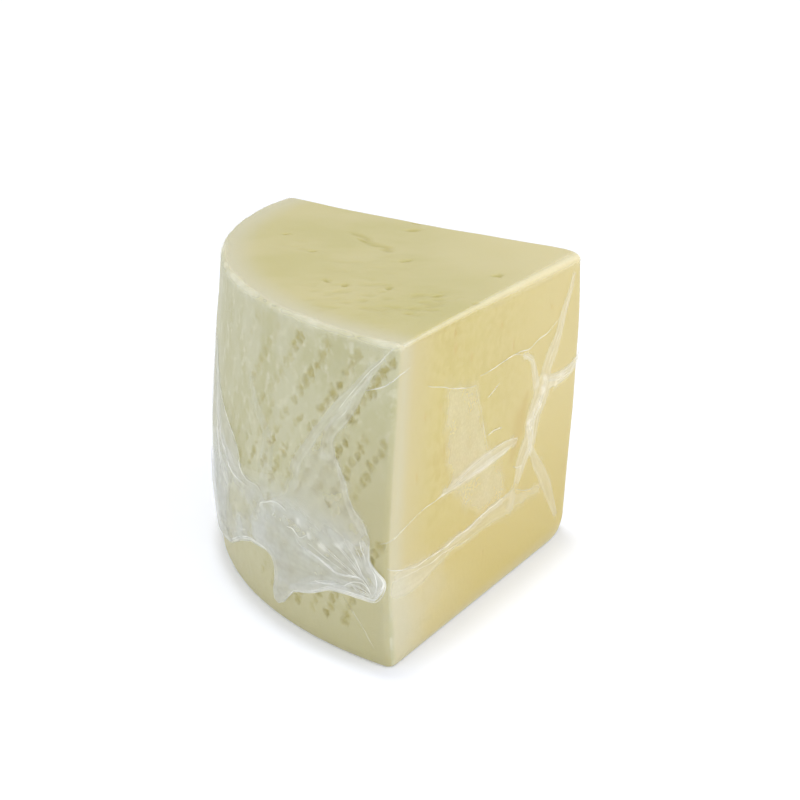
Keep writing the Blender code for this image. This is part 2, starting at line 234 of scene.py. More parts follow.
def depth_inside(flat, outline):
    """Distance of flat points from a closed outline, positive inside it."""
    loop = np.array(outline, float) * MM
    best = np.full(len(flat), np.inf)
    inside = np.zeros(len(flat), bool)
    for a, b in zip(loop, np.roll(loop, -1, axis=0)):
        way = b - a
        off = flat - a
        t = np.clip(off @ way / (way @ way), 0, 1)
        best = np.minimum(best, np.linalg.norm(off - t[:, None] * way, axis=1))
        crosses = (a[1] > flat[:, 1]) != (b[1] > flat[:, 1])
        rise = way[1] if abs(way[1]) > TINY else TINY
        inside ^= crosses & (flat[:, 0] < a[0] + way[0] * (flat[:, 1] - a[1]) / rise)
    return np.where(inside, best, -best)


# ---------------------------------------------------------------- mesh helpers

# How many sides the blank wheel has, and how well a surface faces one way where it is flat.
WHEEL_SIDES = 180
FLATNESS = 0.995

def points_of(obj):
    flat = np.empty(len(obj.data.vertices) * 3)
    obj.data.vertices.foreach_get("co", flat)
    return flat.reshape(-1, 3)


def move_points(obj, p):
    obj.data.vertices.foreach_set("co", p.ravel())
    obj.data.update()


def face_middles(obj):
    middles = np.empty(len(obj.data.polygons) * 3)
    obj.data.polygons.foreach_get("center", middles)
    return middles.reshape(-1, 3)


def keep_value(obj, name, values):
    """Stores one number for each vertex under a name that a material reads."""
    layer = obj.data.attributes.new(name, "FLOAT", "POINT")
    layer.data.foreach_set("value", np.asarray(values, np.float32))


def pick(obj):
    """Makes an object the only one that is selected, and the active one."""
    bpy.ops.object.select_all(action="DESELECT")
    obj.select_set(True)
    bpy.context.view_layer.objects.active = obj


def name_piece(obj, name):
    obj.name = name
    obj.data.name = name


def edit_faces(obj, chosen):
    """Enters edit mode with just the chosen faces selected."""
    mesh = obj.data
    pick(obj)
    bpy.context.tool_settings.mesh_select_mode = (False, False, True)
    mesh.vertices.foreach_set("select", np.zeros(len(mesh.vertices), bool))
    mesh.edges.foreach_set("select", np.zeros(len(mesh.edges), bool))
    mesh.polygons.foreach_set("select", chosen)
    bpy.ops.object.mode_set(mode="EDIT")


def refine(obj, wanted, offset):
    """Splits every face whose middle is wanted into four, and settles the new points."""
    edit_faces(obj, wanted(face_middles(obj)))
    bpy.ops.mesh.subdivide(number_cuts=1)
    bpy.ops.object.mode_set(mode="OBJECT")
    move_points(obj, settled(points_of(obj), offset))


def wedge_blank(name, grain, offset):
    """A straight-sided wedge on the wheel's axis, cut from a wheel, with faces of one size."""
    bpy.ops.object.select_all(action="DESELECT")
    bpy.ops.mesh.primitive_cylinder_add(
        vertices=WHEEL_SIDES, radius=WHEEL_RADIUS, depth=HEIGHT, location=(0, 0, HEIGHT / 2))
    blank = bpy.context.object
    name_piece(blank, name)
    bpy.ops.object.transform_apply(location=True)
    bpy.ops.object.mode_set(mode="EDIT")
    for side in (1, -1):
        bpy.ops.mesh.select_all(action="SELECT")
        cut = (math.sin(HALF_ANGLE), side * math.cos(HALF_ANGLE), 0)
        bpy.ops.mesh.bisect(plane_co=(0, 0, 0), plane_no=cut, use_fill=True, clear_outer=True)
    bpy.ops.object.mode_set(mode="OBJECT")
    remesh = blank.modifiers.new("even_faces", "REMESH")
    remesh.mode = "VOXEL"
    remesh.voxel_size = grain
    bpy.ops.object.modifier_apply(modifier=remesh.name)
    move_points(blank, settled(points_of(blank), offset))
    return blank


def on_edges(p):
    """Whether points lie on the wedge's rounded edges and corners."""
    normal = wedge_normal(p)
    radius = np.maximum(np.hypot(p[:, 0], p[:, 1]), 1 * MM)
    flats = [np.abs(normal[:, 2])]
    for side in (1, -1):
        flats.append(normal[:, :2] @ (math.sin(HALF_ANGLE), side * math.cos(HALF_ANGLE)))
    flats.append((normal[:, 0] * p[:, 0] + normal[:, 1] * p[:, 1]) / radius)
    return np.max(flats, axis=0) < FLATNESS


def finish_piece(piece, material, node):
    """Smooths a piece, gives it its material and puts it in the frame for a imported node."""
    pick(piece)
    bpy.ops.object.shade_smooth()
    piece.data.materials.clear()
    piece.data.materials.append(material)
    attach(piece, "root")
    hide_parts(node)


# ---------------------------------------------------------------- the cheese

# Slanting rows of pits pressed into the rind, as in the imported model: height of a row's lowest
# and highest pit, lean, distance between rows, and between the pits of one row, pit width and
# pit height.
PIT_BANDS = (
    (97 * MM, 121 * MM, 15 * MM, 14.5 * MM, 4.9 * MM, 3.3 * MM, 3.9 * MM),
    (61 * MM, 91 * MM, 16 * MM, 8.2 * MM, 3.7 * MM, 2.5 * MM, 2.9 * MM),
    (15 * MM, 52 * MM, 17 * MM, 8.2 * MM, 3.9 * MM, 2.5 * MM, 2.9 * MM),
)
PIT_SCATTER = 0.8 * MM
PIT_DEPTH = 0.8 * MM
PIT_START = 4 * MM
PIT_END = 130 * MM

# Pits are clear as far as this along the rind, fade over the next stretch, and come and go in
# patches of this size.
PIT_CLEAR = 40 * MM
PIT_FADING = 75 * MM
PIT_PATCH = 24 * MM

# How the outline of a pit wanders: along the wall, up it, over what distance, and the seed. Then
# the size of its ragged bits, the distance over which the size and the wear of pits change, and
# the strength of the faintest pit that shows.
PIT_WANDER = ((1.1 * MM, 1.2 * MM, 4.5 * MM, 17), (0.6 * MM, 0.6 * MM, 2 * MM, 47))
PIT_RAG = 1.5 * MM
PIT_KIN = 3 * MM
LEAST_PIT = 0.05

# Eyes in the sawn top: x and y from the wheel's axis, length, width, turn. Then the bends of its
# crack, and its rough places: x, y, reach, strength.
TOP_EYES = (
    (-91, 30, 9, 2.4, 115), (-81, -4, 6, 2.6, 20), (-97, -42, 5, 2.6, 60), (-69, -68, 4, 2.4, 0),
    (-49, -31, 6, 2.4, 70), (-122, 45, 4, 2.2, 30), (-116, 16, 4, 2, 0), (-61, 59, 5, 2, 140),
    (-119, -28, 5, 2.2, 100), (-97, -75, 4, 2.2, 10), (-65, 47, 8, 4, 15), (-81, -55, 6, 3, 20),
    (-113, -35, 5, 3, 60), (-50, -31, 6, 3, 20),
)
TOP_CRACK = (
    (-93, 48), (-93, 42), (-89, 37), (-90, 30), (-89, 24), (-84, 19), (-85, 14), (-82, 10),
)
TOP_ROUGH = (
    (-108, -50, 34, 0.42), (-90, -62, 24, 0.5), (-116, 20, 22, 0.25), (-98, -10, 30, 0.2),
)
EYE_DEPTH = 0.9 * MM
TOP_BAND = 0.3 * MM

# Small slits in the front cut face: along the wall, height, width, length.
CUT_SLITS = (
    (-39, 122, 1.6, 3.6), (-40, 116, 1.8, 4.2), (-53, 109, 1.6, 3.6), (-77, 115, 1.3, 2.6),
    (-88, 104, 1.5, 4.4), (-31, 96, 1.1, 2.6), (-120, 112, 1.1, 2.6), (-70, 21, 1.2, 2.4),
    (-16, 74, 1.2, 3), (-20, 96, 1.1, 2.6),
)
SLIT_DEPTH = 0.15 * MM

# Where the paste of the front cut face is darker, along the wall, height and width.
CUT_SHADE = (
    (-102, 79, 3), (-99.3, 74, 6), (-96.6, 70, 9), (-96, 64, 9), (-94, 59, 7), (-91, 54, 3),
)
CHEESE_GRAIN = 2.02 * MM
BASE_GAP = 0.3 * MM
BASE_BAND = 1 * MM

# Soft unevenness of the whole cheese, and that of the rind on top of it: how high, the size of
# its features, and the seed. Then the lip of a pit, and how far any of it may stand out, so that
# it stays under the film.
WAVES = ((0.3 * MM, 26 * MM, 1),)
RIND_WAVES = ((0.22 * MM, (7 * MM, 7 * MM, 11 * MM), 2), (0.10 * MM, 3 * MM, 3))
PIT_LIP = 0.25 * MM
MOST_RELIEF = 0.25 * MM


def pit_strength(along, z):
    """How clearly a pit was pressed: 1 near the front corner, fading and patchy further round."""
    patch = noise.noise(Vector((along / PIT_PATCH, z / PIT_PATCH, 3.7)))
    fading = 1 - max(along - PIT_CLEAR, 0) / PIT_FADING
    return min(max(fading + 0.7 * patch, 0), 1)


def rind_pits():
    """The pits of the slanting rows: place along the wall, height, width, height of pit and
    strength for each that was pressed clearly enough to show."""
    pits = []
    for low, high, lean, gap, pitch, width, height in PIT_BANDS:
        count = round(math.hypot(high - low, lean) / pitch)
        for row in range(int((PIT_END - PIT_START) / gap)):
            for i in range(count + 1):
                share = i / count
                spot = Vector((row * 3.1, i * 2.3, low / MM))
                along = PIT_START + row * gap + lean * (1 - share) + PIT_SCATTER * noise.noise(spot)
                z = low + (high - low) * share + PIT_SCATTER * noise.noise(spot * 1.7)
                pits.append((along, z, width, height, pit_strength(along, z)))
    pits = np.array(pits)
    return pits[pits[:, 4] > LEAST_PIT]


def on_rind(p):
    return np.hypot(p[:, 0], p[:, 1]) > WHEEL_RADIUS - RIND_BAND


def pit_depths(p, pits):
    """How deep each point lies in the pits, from 0 to 1, and in their raised lips."""
    along, z = flat_place(p).T
    for sway, rise, size, seed in PIT_WANDER:
        along = along + sway * soft_noise(p, size, seed)
        z = z + rise * soft_noise(p, size, seed + 1)
    ragged = 0.7 * soft_noise(p, PIT_RAG, 54)
    depth = np.zeros(len(p))
    lip = np.zeros(len(p))
    for a, b, width, height, strength in pits:
        near = np.flatnonzero((np.abs(along - a) < 2 * width) & (np.abs(z - b) < 2 * height))
        size = 1 + 0.4 * noise.noise(Vector((a, b, 9 * MM)) / PIT_KIN)
        far = np.hypot((along[near] - a) / width, (z[near] - b) / height) * 2 / size
        far = far + ragged[near]
        shaded_skin = 0.75 + 0.9 * noise.noise(Vector((a, b, 0)) / PIT_KIN)
        shaded_skin = strength * min(max(shaded_skin, 0.25), 1.1)
        depth[near] = np.maximum(depth[near], shaded_skin * fade(far, 1.7, 0.4))
        lip[near] = np.maximum(lip[near], shaded_skin * fade(far, 2.4, 1.5) * fade(far, 1.0, 1.4))
    return depth, lip


def top_marks(p):
    """How deep each point lies in the eyes, the crack and the small pits of the sawn top."""
    flat = p[:, :2]
    marks = np.zeros(len(p))
    for x, y, length, width, turn in TOP_EYES:
        way = (math.cos(math.radians(turn)), math.sin(math.radians(turn)))
        off = (flat - np.array((x, y)) * MM) / MM
        far = np.hypot(off @ way / length, (off[:, 1] * way[0] - off[:, 0] * way[1]) / width)
        marks = np.maximum(marks, fade(far * 2, 1.5, 0.1))
    side, travel, length = beside(flat, smooth_route(TOP_CRACK, 2 * MM))
    share = travel / length
    wander = 1.3 * MM * soft_noise(p, 6 * MM, 43)
    reach = 1.8 * MM + 1.4 * MM * share
    crack = fade(np.abs(side + wander) / reach, 1.4, 0)
    marks = np.maximum(marks, 0.7 * crack * fade(share, 0, 0.15) * fade(share, 1, 0.9))
    small = fade(soft_noise(p, (5.5 * MM, 4 * MM, 1), 41), 0.1, 0.6)
    for x, y, reach, strength in TOP_ROUGH:
        place = fade(spread_over(flat, x, y, 1, 1), reach, 0.4 * reach)
        marks = np.maximum(marks, 0.8 * strength * place * small)
    return marks * (p[:, 2] > HEIGHT - TOP_BAND)


def slit_marks(p):
    """How deep each point lies in the small slits of the front cut face."""
    flat = flat_place(p)
    marks = np.zeros(len(p))
    for slit in CUT_SLITS:
        marks = np.maximum(marks, fade(spread_over(flat, *slit) * 2, 1.8, 0))
    return marks * ~on_rind(p)


def shade_marks(p):
    """How much darker the paste is at each point of the front cut face."""
    route = smooth_route(CUT_SHADE, 2 * MM)
    side, travel, length = beside(flat_place(p), route[:, :2])
    half = np.interp(travel / length, np.linspace(0, 1, len(route)), route[:, 2]) / 2
    return 0.8 * fade(np.abs(side) / half, 1.9, 0) * ~on_rind(p)


def make_cheese():
    """The wedge itself, with finer faces where the rind, its pits, the eyes and slits need them."""
    cheese = wedge_blank("cheese_wedge", CHEESE_GRAIN, 0)
    pits = rind_pits()
    refine(cheese, on_edges, 0)
    refine(cheese, on_rind, 0)
    refine(cheese, lambda p: (top_marks(p) > 0.03) | (slit_marks(p) > 0.03), 0)
    refine(cheese, lambda p: on_rind(p) & (pit_depths(p, pits)[0] > 0.2), 0)
    refine(cheese, lambda p: (top_marks(p) > 0.1) | (slit_marks(p) > 0.1), 0)

    p = points_of(cheese)
    out = wedge_normal(p)
    rind = on_rind(p)
    depth, lip = pit_depths(p, pits)
    depth, lip = depth * rind, lip * rind
    crumbs = 0.25 * soft_noise(p, 1.6 * MM, 49)
    relief = -PIT_DEPTH * depth * (1 + crumbs) + PIT_LIP * lip
    relief += sum(high * soft_noise(p, size, seed) for high, size, seed in WAVES)
    relief += rind * sum(high * soft_noise(p, size, seed) for high, size, seed in RIND_WAVES)
    marks, slits = top_marks(p), slit_marks(p)
    relief -= EYE_DEPTH * marks + SLIT_DEPTH * slits
    relief = np.minimum(relief, MOST_RELIEF)
    relief[p[:, 2] < BASE_BAND] = 0

    # The pale layer under the rind gets wider low down. The rind is painted darker there, as
    # shade, and towards the front corner.
    skin = WHEEL_RADIUS - np.hypot(p[:, 0], p[:, 1])
    skin = skin / (1 + 1.6 * fade(p[:, 2], 50 * MM, 5 * MM))
    skin = np.minimum(skin, 4 * p[:, 2]) / MM
    along, z = flat_place(p).T / MM
    rind_shade = np.maximum(0.9 * fade(z, 48, 6), fade(along, 46, 4) * fade(z, 112, 62))
    shaped = swollen(p + out * relief[:, None])
    shaped[:, 2] = np.maximum(shaped[:, 2], BASE_GAP)
    move_points(cheese, shaped)
    keep_value(cheese, "pit", depth)
    keep_value(cheese, "eye", np.maximum(marks, 0.55 * slits))
    keep_value(cheese, "shade", np.maximum(shade_marks(p), rind_shade * rind))
    keep_value(cheese, "rind_depth", skin)
    keep_value(cheese, "sawn", np.clip(out[:, 2], 0, 1) ** 2)
    finish_piece(cheese, pressed_curd(), "cheese")


# ---------------------------------------------------------------- the film

FILM_GAP = 0.35 * MM
WRAP_GRAIN = 2.4 * MM
GATHER_GRAIN = 0.65 * MM
GATHER_WALL = 0.12 * MM
CREASE_STEP = 0.7 * MM

# Haze, and lift in mm, below this don't show. No film hides all that is behind it.
FAINT = 0.02
MOST_HAZE = 0.95

# How far round a fold's bends its points are looked for.
FOLD_REACH = 9 * MM

# Haze is gone at the first of these places along the rind, and whole at the second, in mm.
HAZE_END = (157, 122)

# Folds that the film lies in, flat: how milky it is there, how far it stands off in mm, and then
# for each bend of the fold its place along the wall, its height and how wide the fold is, in mm.
FOLDS = (
    (0.33, 0.25, (
        (-140, 124, 2), (-135.6, 115.3, 3.5), (-129.7, 105.9, 5.5), (-127, 99.8, 6),
        (-125, 96.4, 6.9), (-122.5, 92.9, 8.6), (-119.5, 89.6, 8.6), (-117.5, 85.9, 8.8),
        (-116.5, 81, 9))),
    (0.38, 0.2, (
        (-95, 98, 2), (-99.6, 96.4, 2.4), (-103.3, 94.3, 3), (-105.4, 90.7, 3.6),
        (-106.7, 87.4, 4.6), (-108, 83.9, 4.9), (-109, 79, 5))),
    (0.48, 0.35, (
        (-153, 84.5, 4), (-144.5, 81.6, 4.2), (-141.7, 80.3, 4.6), (-137.4, 79, 5.3),
        (-131.5, 78.8, 5.8), (-126.6, 78.8, 6), (-119, 79.8, 6))),
    (0.37, 0.35, (
        (-117, 85.5, 9), (-115.8, 81.4, 13), (-114.3, 78, 14.5), (-113, 74.6, 13.5),
        (-110.6, 71.8, 12), (-108.4, 69, 11.6), (-107.3, 65.6, 12.6), (-107, 61.8, 11),
        (-106, 58, 11.2), (-103.2, 55, 11), (-101.1, 52.6, 10), (-99.4, 50, 9.6),
        (-98.3, 46.8, 7.4), (-96.6, 43.4, 5.6), (-95, 39, 5.5))),
    (0.32, 0.25, (
        (-117, 84, 5), (-116.2, 80, 6), (-114.2, 76, 6.5), (-111.2, 72, 6), (-107.4, 68.4, 5.5),
        (-105.6, 64.4, 6), (-106.4, 60, 5), (-105.6, 55, 4), (-103.6, 51, 3))),
    (0.32, 0.2, (
        (-105.5, 55.5, 3), (-109.2, 51.3, 4.2), (-113, 46, 5.8), (-118.2, 40, 6.4),
        (-124.8, 31.6, 7), (-128.7, 25.7, 6.2), (-132.9, 18.8, 4.6), (-139, 9.5, 2))),
    (0.27, 0.25, (
        (-96.5, 34.5, 12), (-89.4, 35.6, 10.2), (-85.9, 35.2, 9.2), (-75, 35.7, 8),
        (-63.4, 35.4, 6.8), (-56.4, 35.1, 6.2), (-50.8, 35, 5.6), (-44.3, 35.2, 5.1),
        (-36.6, 34.5, 6), (-27.9, 34, 8.1), (-19, 33.6, 10.4), (-10, 34.6, 11), (-2, 36, 9.5),
        (3, 38, 5))),
    (0.2, 0.2, (
        (-92, 39.6, 2), (-80, 38.8, 2.4), (-70, 38.2, 2.4), (-58, 36.8, 2.6), (-46, 36.4, 2.4),
        (-34, 36.4, 2))),
    (0.38, 0.25, (
        (-97, 62, 1.5), (-88.8, 62.3, 3.6), (-82, 62.2, 6), (-73.8, 62.3, 6.3), (-61.6, 61.9, 6.6),
        (-52, 61.4, 5.4), (-42, 60.6, 3.6), (-30, 59.8, 1.6))),
    (0.36, 0.25, ((-90, 61, 1.2), (-80, 60.8, 2.6), (-68, 60.4, 2.8), (-56, 60.4, 2))),
    (0.3, 0.15, (
        (2.5, 127.4, 0.6), (7.6, 121.3, 1.7), (10.4, 118.4, 3.4), (15.2, 112.9, 3.4),
        (19.3, 107.6, 3.6), (24.2, 102, 4.2), (28.4, 96.6, 4.6), (32.5, 91, 4.4),
        (35.2, 88.2, 4.2), (38.3, 83.1, 4.3), (42.5, 77.2, 4.4), (45.6, 71.7, 5), (48, 64, 7))),
    (0.32, 0.15, (
        (11.2, 116.8, 1.3), (13.4, 111.9, 2), (16.3, 107, 3.4), (17.8, 103.4, 3.5),
        (20.1, 100.2, 4.3), (22.8, 96.4, 5), (26, 92.8, 5.3), (28.4, 89.2, 5.4), (29.4, 85.6, 6),
        (29, 82, 7.2), (28.6, 77, 10))),
    (0.3, 0.2, (
        (25.2, 81.2, 1.6), (23.2, 76.6, 2), (21, 72, 2.4), (19.5, 67.6, 2.6), (18.2, 64.7, 2.8),
        (16.6, 62.2, 3.4), (14.2, 59.8, 4.1), (11.6, 57, 3.8), (9.4, 53.4, 3))),
    (0.2, 0.1, (
        (80, 98, 2), (75.9, 89.8, 3.5), (71.6, 84.6, 4.4), (65.6, 79.1, 5.3), (63.4, 73.9, 6.6),
        (64.2, 65, 9.1), (63.6, 58.2, 12), (60, 52.9, 13))),
    (0.35, 0.3, (
        (124, 92, 2), (120.5, 82, 3.5), (117.8, 73.6, 4.4), (114, 66.8, 5), (110, 61.4, 5.6),
        (104, 57.6, 6), (97.8, 54.6, 6), (90, 51.6, 6), (82, 50.6, 5))),
)

# Wider places where the film lies double: how milky, how soft its edge is in mm, and its outline.
PANES = (
    (0.23, 3.4, (
        (-34, 103), (-45.5, 100.5), (-57, 96.5), (-60, 90.5), (-63.5, 83.5), (-66, 75.5),
        (-70.2, 67), (-78, 59), (-84, 50), (-86, 42), (-80, 38.4), (-65.6, 40.9), (-50.5, 49.7),
        (-42.1, 59.2), (-39.8, 68.3), (-36.7, 77.5), (-34.6, 90))),
    (0.26, 2, (
        (-92, 42), (-96, 38.6), (-99.2, 37.8), (-103.9, 36.3), (-109.5, 34.9), (-115, 35.2),
        (-119.8, 34.2), (-121, 30.8), (-117, 30), (-110.3, 30.7), (-101.7, 30.8), (-93, 30.4),
        (-88, 33))),
    (0.14, 6, ((-16, 37), (-4, 40), (2, 36), (2, 8), (-20, 10), (-40, 20), (-36, 30))),
    (0.3, 2.6, (
        (33, 84), (29.6, 82), (25, 80), (22.1, 76.1), (19.7, 72.3), (18.4, 68.2), (17.2, 65.5),
        (15.7, 63), (12.9, 60.8), (11, 59), (9, 48), (60, 46), (60, 53), (53, 58), (48.5, 65),
        (45, 72), (39, 80))),
    (0.46, 1.6, (
        (126, 96), (120, 86), (113.4, 79), (108.7, 74.6), (102.9, 71.5), (97, 68.4), (92.8, 66.1),
        (88.9, 62.7), (86.1, 58.4), (83, 55.4), (77, 53.6), (69.9, 54.2), (65, 50), (64, 34),
        (110, 18), (156, 14), (160, 60), (154, 96))),
)

# The bunched tail: its outline, the side where it thins out to nothing, and its thick rim.
GATHER_OUTLINE = (
    (15.2, 62), (11.5, 59.5), (8.6, 55), (7.9, 51), (7.7, 45.3), (5.3, 42.4), (2.7, 40.3),
    (1.5, 37.7), (2.3, 34.5), (3.8, 31), (5.7, 28.9), (9.3, 28.7), (13.3, 28.6), (17.4, 28.4),
    (21.6, 28), (27, 26.8), (31.7, 24.2), (36.7, 21.5), (41.9, 19.7), (46.3, 17.9), (50.1, 14.2),
    (54.3, 9.9), (58.6, 7.2), (61.5, 8.3), (61.2, 13), (58.7, 20.2), (58.7, 24.9), (60.3, 27.8),
    (64.1, 28.9), (69.6, 28.2), (76.3, 27.4), (85.5, 23.5), (98.3, 16.5), (117, 11), (133, 14),
    (139, 30), (136, 46), (127, 57), (113, 62), (100, 60), (88, 58), (76, 59), (66, 61), (56, 64),
    (45, 66), (32, 65), (22, 64),
)
GATHER_THIN = (
    (12, 62), (22, 64.5), (32, 66), (45, 67), (56, 65), (66, 62), (76, 60), (88, 59), (100, 61),
    (113, 63), (128, 58), (138, 46), (141, 30), (135, 12),
)
GATHER_RIM = (
    (7.9, 50), (7.4, 45.3), (5, 42), (2.9, 39.8), (2.2, 37.4), (3, 34.4), (4.6, 31.4), (6.8, 29.6),
    (13, 29.3), (21.6, 28.7), (27, 27.4), (36.7, 22.2), (46.3, 18.6), (54.3, 11),
)

# Folds of the bunched tail itself, described like the others.
GATHER_FOLDS = (
    (0.3, 0.3, (
        (50, 16, 4), (42, 22, 5), (34, 26.5, 6), (27, 29.6, 6), (18, 31, 5), (9, 31.4, 4.5),
        (4.6, 34.6, 3.6), (4.2, 38.4, 3.6), (8, 44, 4), (9.4, 50, 3))),
    (0.26, 0.25, (
        (122, 15, 6), (104, 18.6, 6), (90, 25.6, 6), (78, 30, 5), (68, 31.4, 5), (60.6, 31, 5),
        (56, 27, 4))),
    (0.12, 0.2, ((60, 10, 4), (57, 16, 4), (56, 24, 5), (62, 34, 6))),
    (0.12, 0.25, ((44, 43, 2), (34.8, 38.8, 3), (26, 36.6, 4), (18, 35.6, 5), (10, 36.6, 5))),
    (0.14, 0.25, ((19, 50.4, 2), (16.9, 48.2, 3), (14, 44.8, 3.5), (12, 41.8, 4), (9.4, 37, 4))),
    (0.12, 0.2, ((66, 52, 6), (62, 44, 8), (56, 36, 8), (50, 28, 7))),
)

# Crumpled spots, milkier and with a painted highlight: along, height, size, strength.
GLINTING_CRUMPLES = (
    (42.1, 49.5, 2.2, 0.7), (45.2, 45.5, 1.3, 0.5), (36.6, 45.8, 1.8, 0.8), (29.4, 43.9, 2.5, 1),
    (20.9, 47.2, 2.6, 0.7), (16.2, 48.6, 2, 0.5), (11, 50.8, 1.6, 0.6), (14.6, 51.2, 1.4, 0.3),
    (64.8, 48.4, 1.8, 0.7), (60.4, 51.2, 1.3, 0.4), (57.8, 51.9, 1.5, 0.5), (53.1, 52.6, 1.4, 0.3),
    (12.5, 44, 2.6, 0.3), (24, 41, 2, 0.2), (8.6, 41, 2.2, 0.3), (106, 47, 3, 0.3),
    (112, 60, 3, 0.3), (-115.8, 83, 2.4, 0.5), (-114.6, 77.6, 2.4, 0.6), (-111.4, 73.2, 2.2, 0.5),
    (-113.6, 70.6, 1.8, 0.5), (-103.8, 66.8, 2, 0.8), (-105.4, 63.8, 1.8, 0.4),
    (-126.4, 76.8, 2.4, 0.4), (-132, 78.6, 2.6, 0.3), (-98.6, 48.6, 1.8, 0.4),
    (-62.5, 20.6, 1.2, 0.4), (-71.6, 21.4, 1, 0.4), (-78, 19.6, 1.2, 0.4), (-66.5, 38.6, 1.6, 0.2),
)

# Thin places, where the cheese shows through: along, height, half width, half height, strength.
THIN_SPOTS = (
    (10.8, 31.8, 3.4, 1.7, 0.55), (14.8, 31.5, 2.2, 1.3, 0.3), (11.6, 47.2, 2, 2.6, 0.5),
    (15.4, 56.2, 3.2, 4.6, 0.35), (26, 64, 7, 6.5, 0.3), (85, 41, 16, 10, 0.8),
    (96, 30, 10, 9, 0.5), (56, 59, 7, 5, 0.3), (33, 52, 5, 5, 0.12),
)


def fold_cover(flat, folds):
    """How clear the film stays in folds at flat points, and how far it stands off there."""
    clear = np.ones(len(flat))
    lift = np.zeros(len(flat))
    for number, (milky, height, bends) in enumerate(folds):
        route = smooth_route(bends, 2 * MM)
        low, high = route[:, :2].min(axis=0), route[:, :2].max(axis=0)
        near = np.all((flat > low - FOLD_REACH) & (flat < high + FOLD_REACH), axis=1)
        near = np.flatnonzero(near)
        if not len(near):
            continue
        side, travel, length = beside(flat[near], route[:, :2])
        share = travel / length
        walk = np.linalg.norm(np.diff(route[:, :2], axis=0), axis=1).cumsum() / length
        half = np.interp(share, np.append(0, walk), route[:, 2]) / 2
        grain = np.stack((travel / 12, side / 1.1, np.full(len(near), number * MM)), axis=1)
        streaks = soft_noise(grain, 1 * MM, 5)
        across = np.abs(side) / half
        body = fade(across, 1.3, 0.7) * (0.88 + 0.2 * streaks + 0.2 * fade(across, 0.4, 0.85))
        ends = fade(share, 0, 0.06) * fade(share, 1, 0.9)
        clear[near] *= 1 - np.clip(milky * ends * body, 0, MOST_HAZE)
        lift[near] += height * MM * ends * fade(across, 1.1, 0.1)
    return clear, lift


def bump_at(flat, along, height, wide, tall):
    """A soft bump of uneven outline, 1 in its middle."""
    bump = np.zeros(len(flat))
    off = spread_over(flat, along, height, wide, tall)
    near = np.flatnonzero(off < 2)
    spots = np.column_stack((flat[near], np.full(len(near), along * MM)))
    size = min(wide, tall) * MM
    ragged = 0.8 * soft_noise(spots, 0.9 * size, 19) + 0.3 * soft_noise(spots, 0.4 * size, 20)
    bump[near] = fade(off[near] + ragged, 1.3, 0.2)
    return bump


def glinting_crumples(flat):
    """How crumpled the film is at flat points, from 0 to 1, and so how strong its painted
    highlight is there.
    """
    painted_light = np.zeros(len(flat))
    for along, height, size, strength in GLINTING_CRUMPLES:
        size *= 0.85
        painted_light = np.maximum(painted_light, strength * bump_at(flat, along, height, size, size))
    return painted_light


def thinned(milky, flat):
    """Haze at flat points, less where the film is thin."""
    for along, height, wide, tall, strength in THIN_SPOTS:
        milky = milky * (1 - strength * bump_at(flat, along, height, wide, tall))
    return milky


def veil_cover(flat):
    """How milky the wrapped film is at flat points, from 0 to 1, and how far it stands off."""
    clear, lift = fold_cover(flat, FOLDS)
    spots = on_flat(flat)
    for milky, softness, outline in PANES:
        depth = depth_inside(flat, outline) / MM
        near = np.flatnonzero(depth > -softness)
        cloud = soft_noise(spots[near] / (1, 1.6, 1), 7 * MM, 9)
        wander = 0.8 * softness * soft_noise(spots[near], 5 * MM, 10)
        body = fade(depth[near] + wander, -softness, softness) * (1 + 0.35 * cloud)
        clear[near] *= 1 - np.clip(milky * body, 0, MOST_HAZE)
    milky = 1 - clear
    painted_light = glinting_crumples(flat)
    milky += 0.35 * painted_light * (milky > FAINT)
    lift += 0.2 * MM * painted_light
    milky = thinned(milky, flat) * fade(flat[:, 0] / MM, *HAZE_END)
    return np.clip(milky, 0, MOST_HAZE), lift


def gather_cover(flat):
    """How milky the bunched tail is at flat points, from 0 to 1, and how far it stands off."""
    depth = depth_inside(flat, GATHER_OUTLINE) / MM
    spots = on_flat(flat)
    broad = soft_noise(spots, 15 * MM, 14)
    middle = soft_noise(spots, (7 * MM, 5 * MM, 1), 15)
    rim, _, _ = beside(flat, smooth_route(GATHER_RIM, 2 * MM))
    rim = np.abs(rim) / MM
    thin, _, _ = beside(flat, smooth_route(GATHER_THIN, 3 * MM))
    thin = fade(np.abs(thin) / MM, 1, 18)
    edge = fade(depth, 0, 4)
    clear, folded = fold_cover(flat, GATHER_FOLDS)

    # In mm: it lies loosely on the wrap, crumpled, thick at its rim, and fuller round the side.
    lift = 0.4 + edge * thin * (0.45 + 0.3 * broad + 0.12 * middle) + folded / MM * edge
    lift += 0.3 * fade(rim, 2.4, 0.4)
    lift += 0.4 * edge * fade(flat[:, 0] / MM, 96, 112) * fade(flat[:, 1] / MM, 52, 40)

    # Its pleats run out like rays from where it is drawn together, near the front corner.
    away = flat / MM - (2, 33)
    rays = on_flat(np.column_stack((9 * np.arctan2(away[:, 1], away[:, 0]),
                                    np.hypot(*away.T) / 22)))
    milky = 0.50 + 0.05 * broad + 0.09 * middle + 0.16 * soft_noise(rays, 1, 51)
    milky += 0.09 * soft_noise(rays * (2.7, 1.5, 1), 1, 52) + 0.06 * fade(rim, 4, 1)
    milky += 0.08 * soft_noise(spots, 2.2 * MM, 53)
    milky = 1 - (1 - milky) * clear
    painted_light = glinting_crumples(flat)
    milky = thinned(milky + 0.2 * painted_light, flat) * thin
    lift += 0.2 * painted_light
    return np.clip(milky, 0, 0.97), np.where(depth > -0.5, lift, 0) * MM


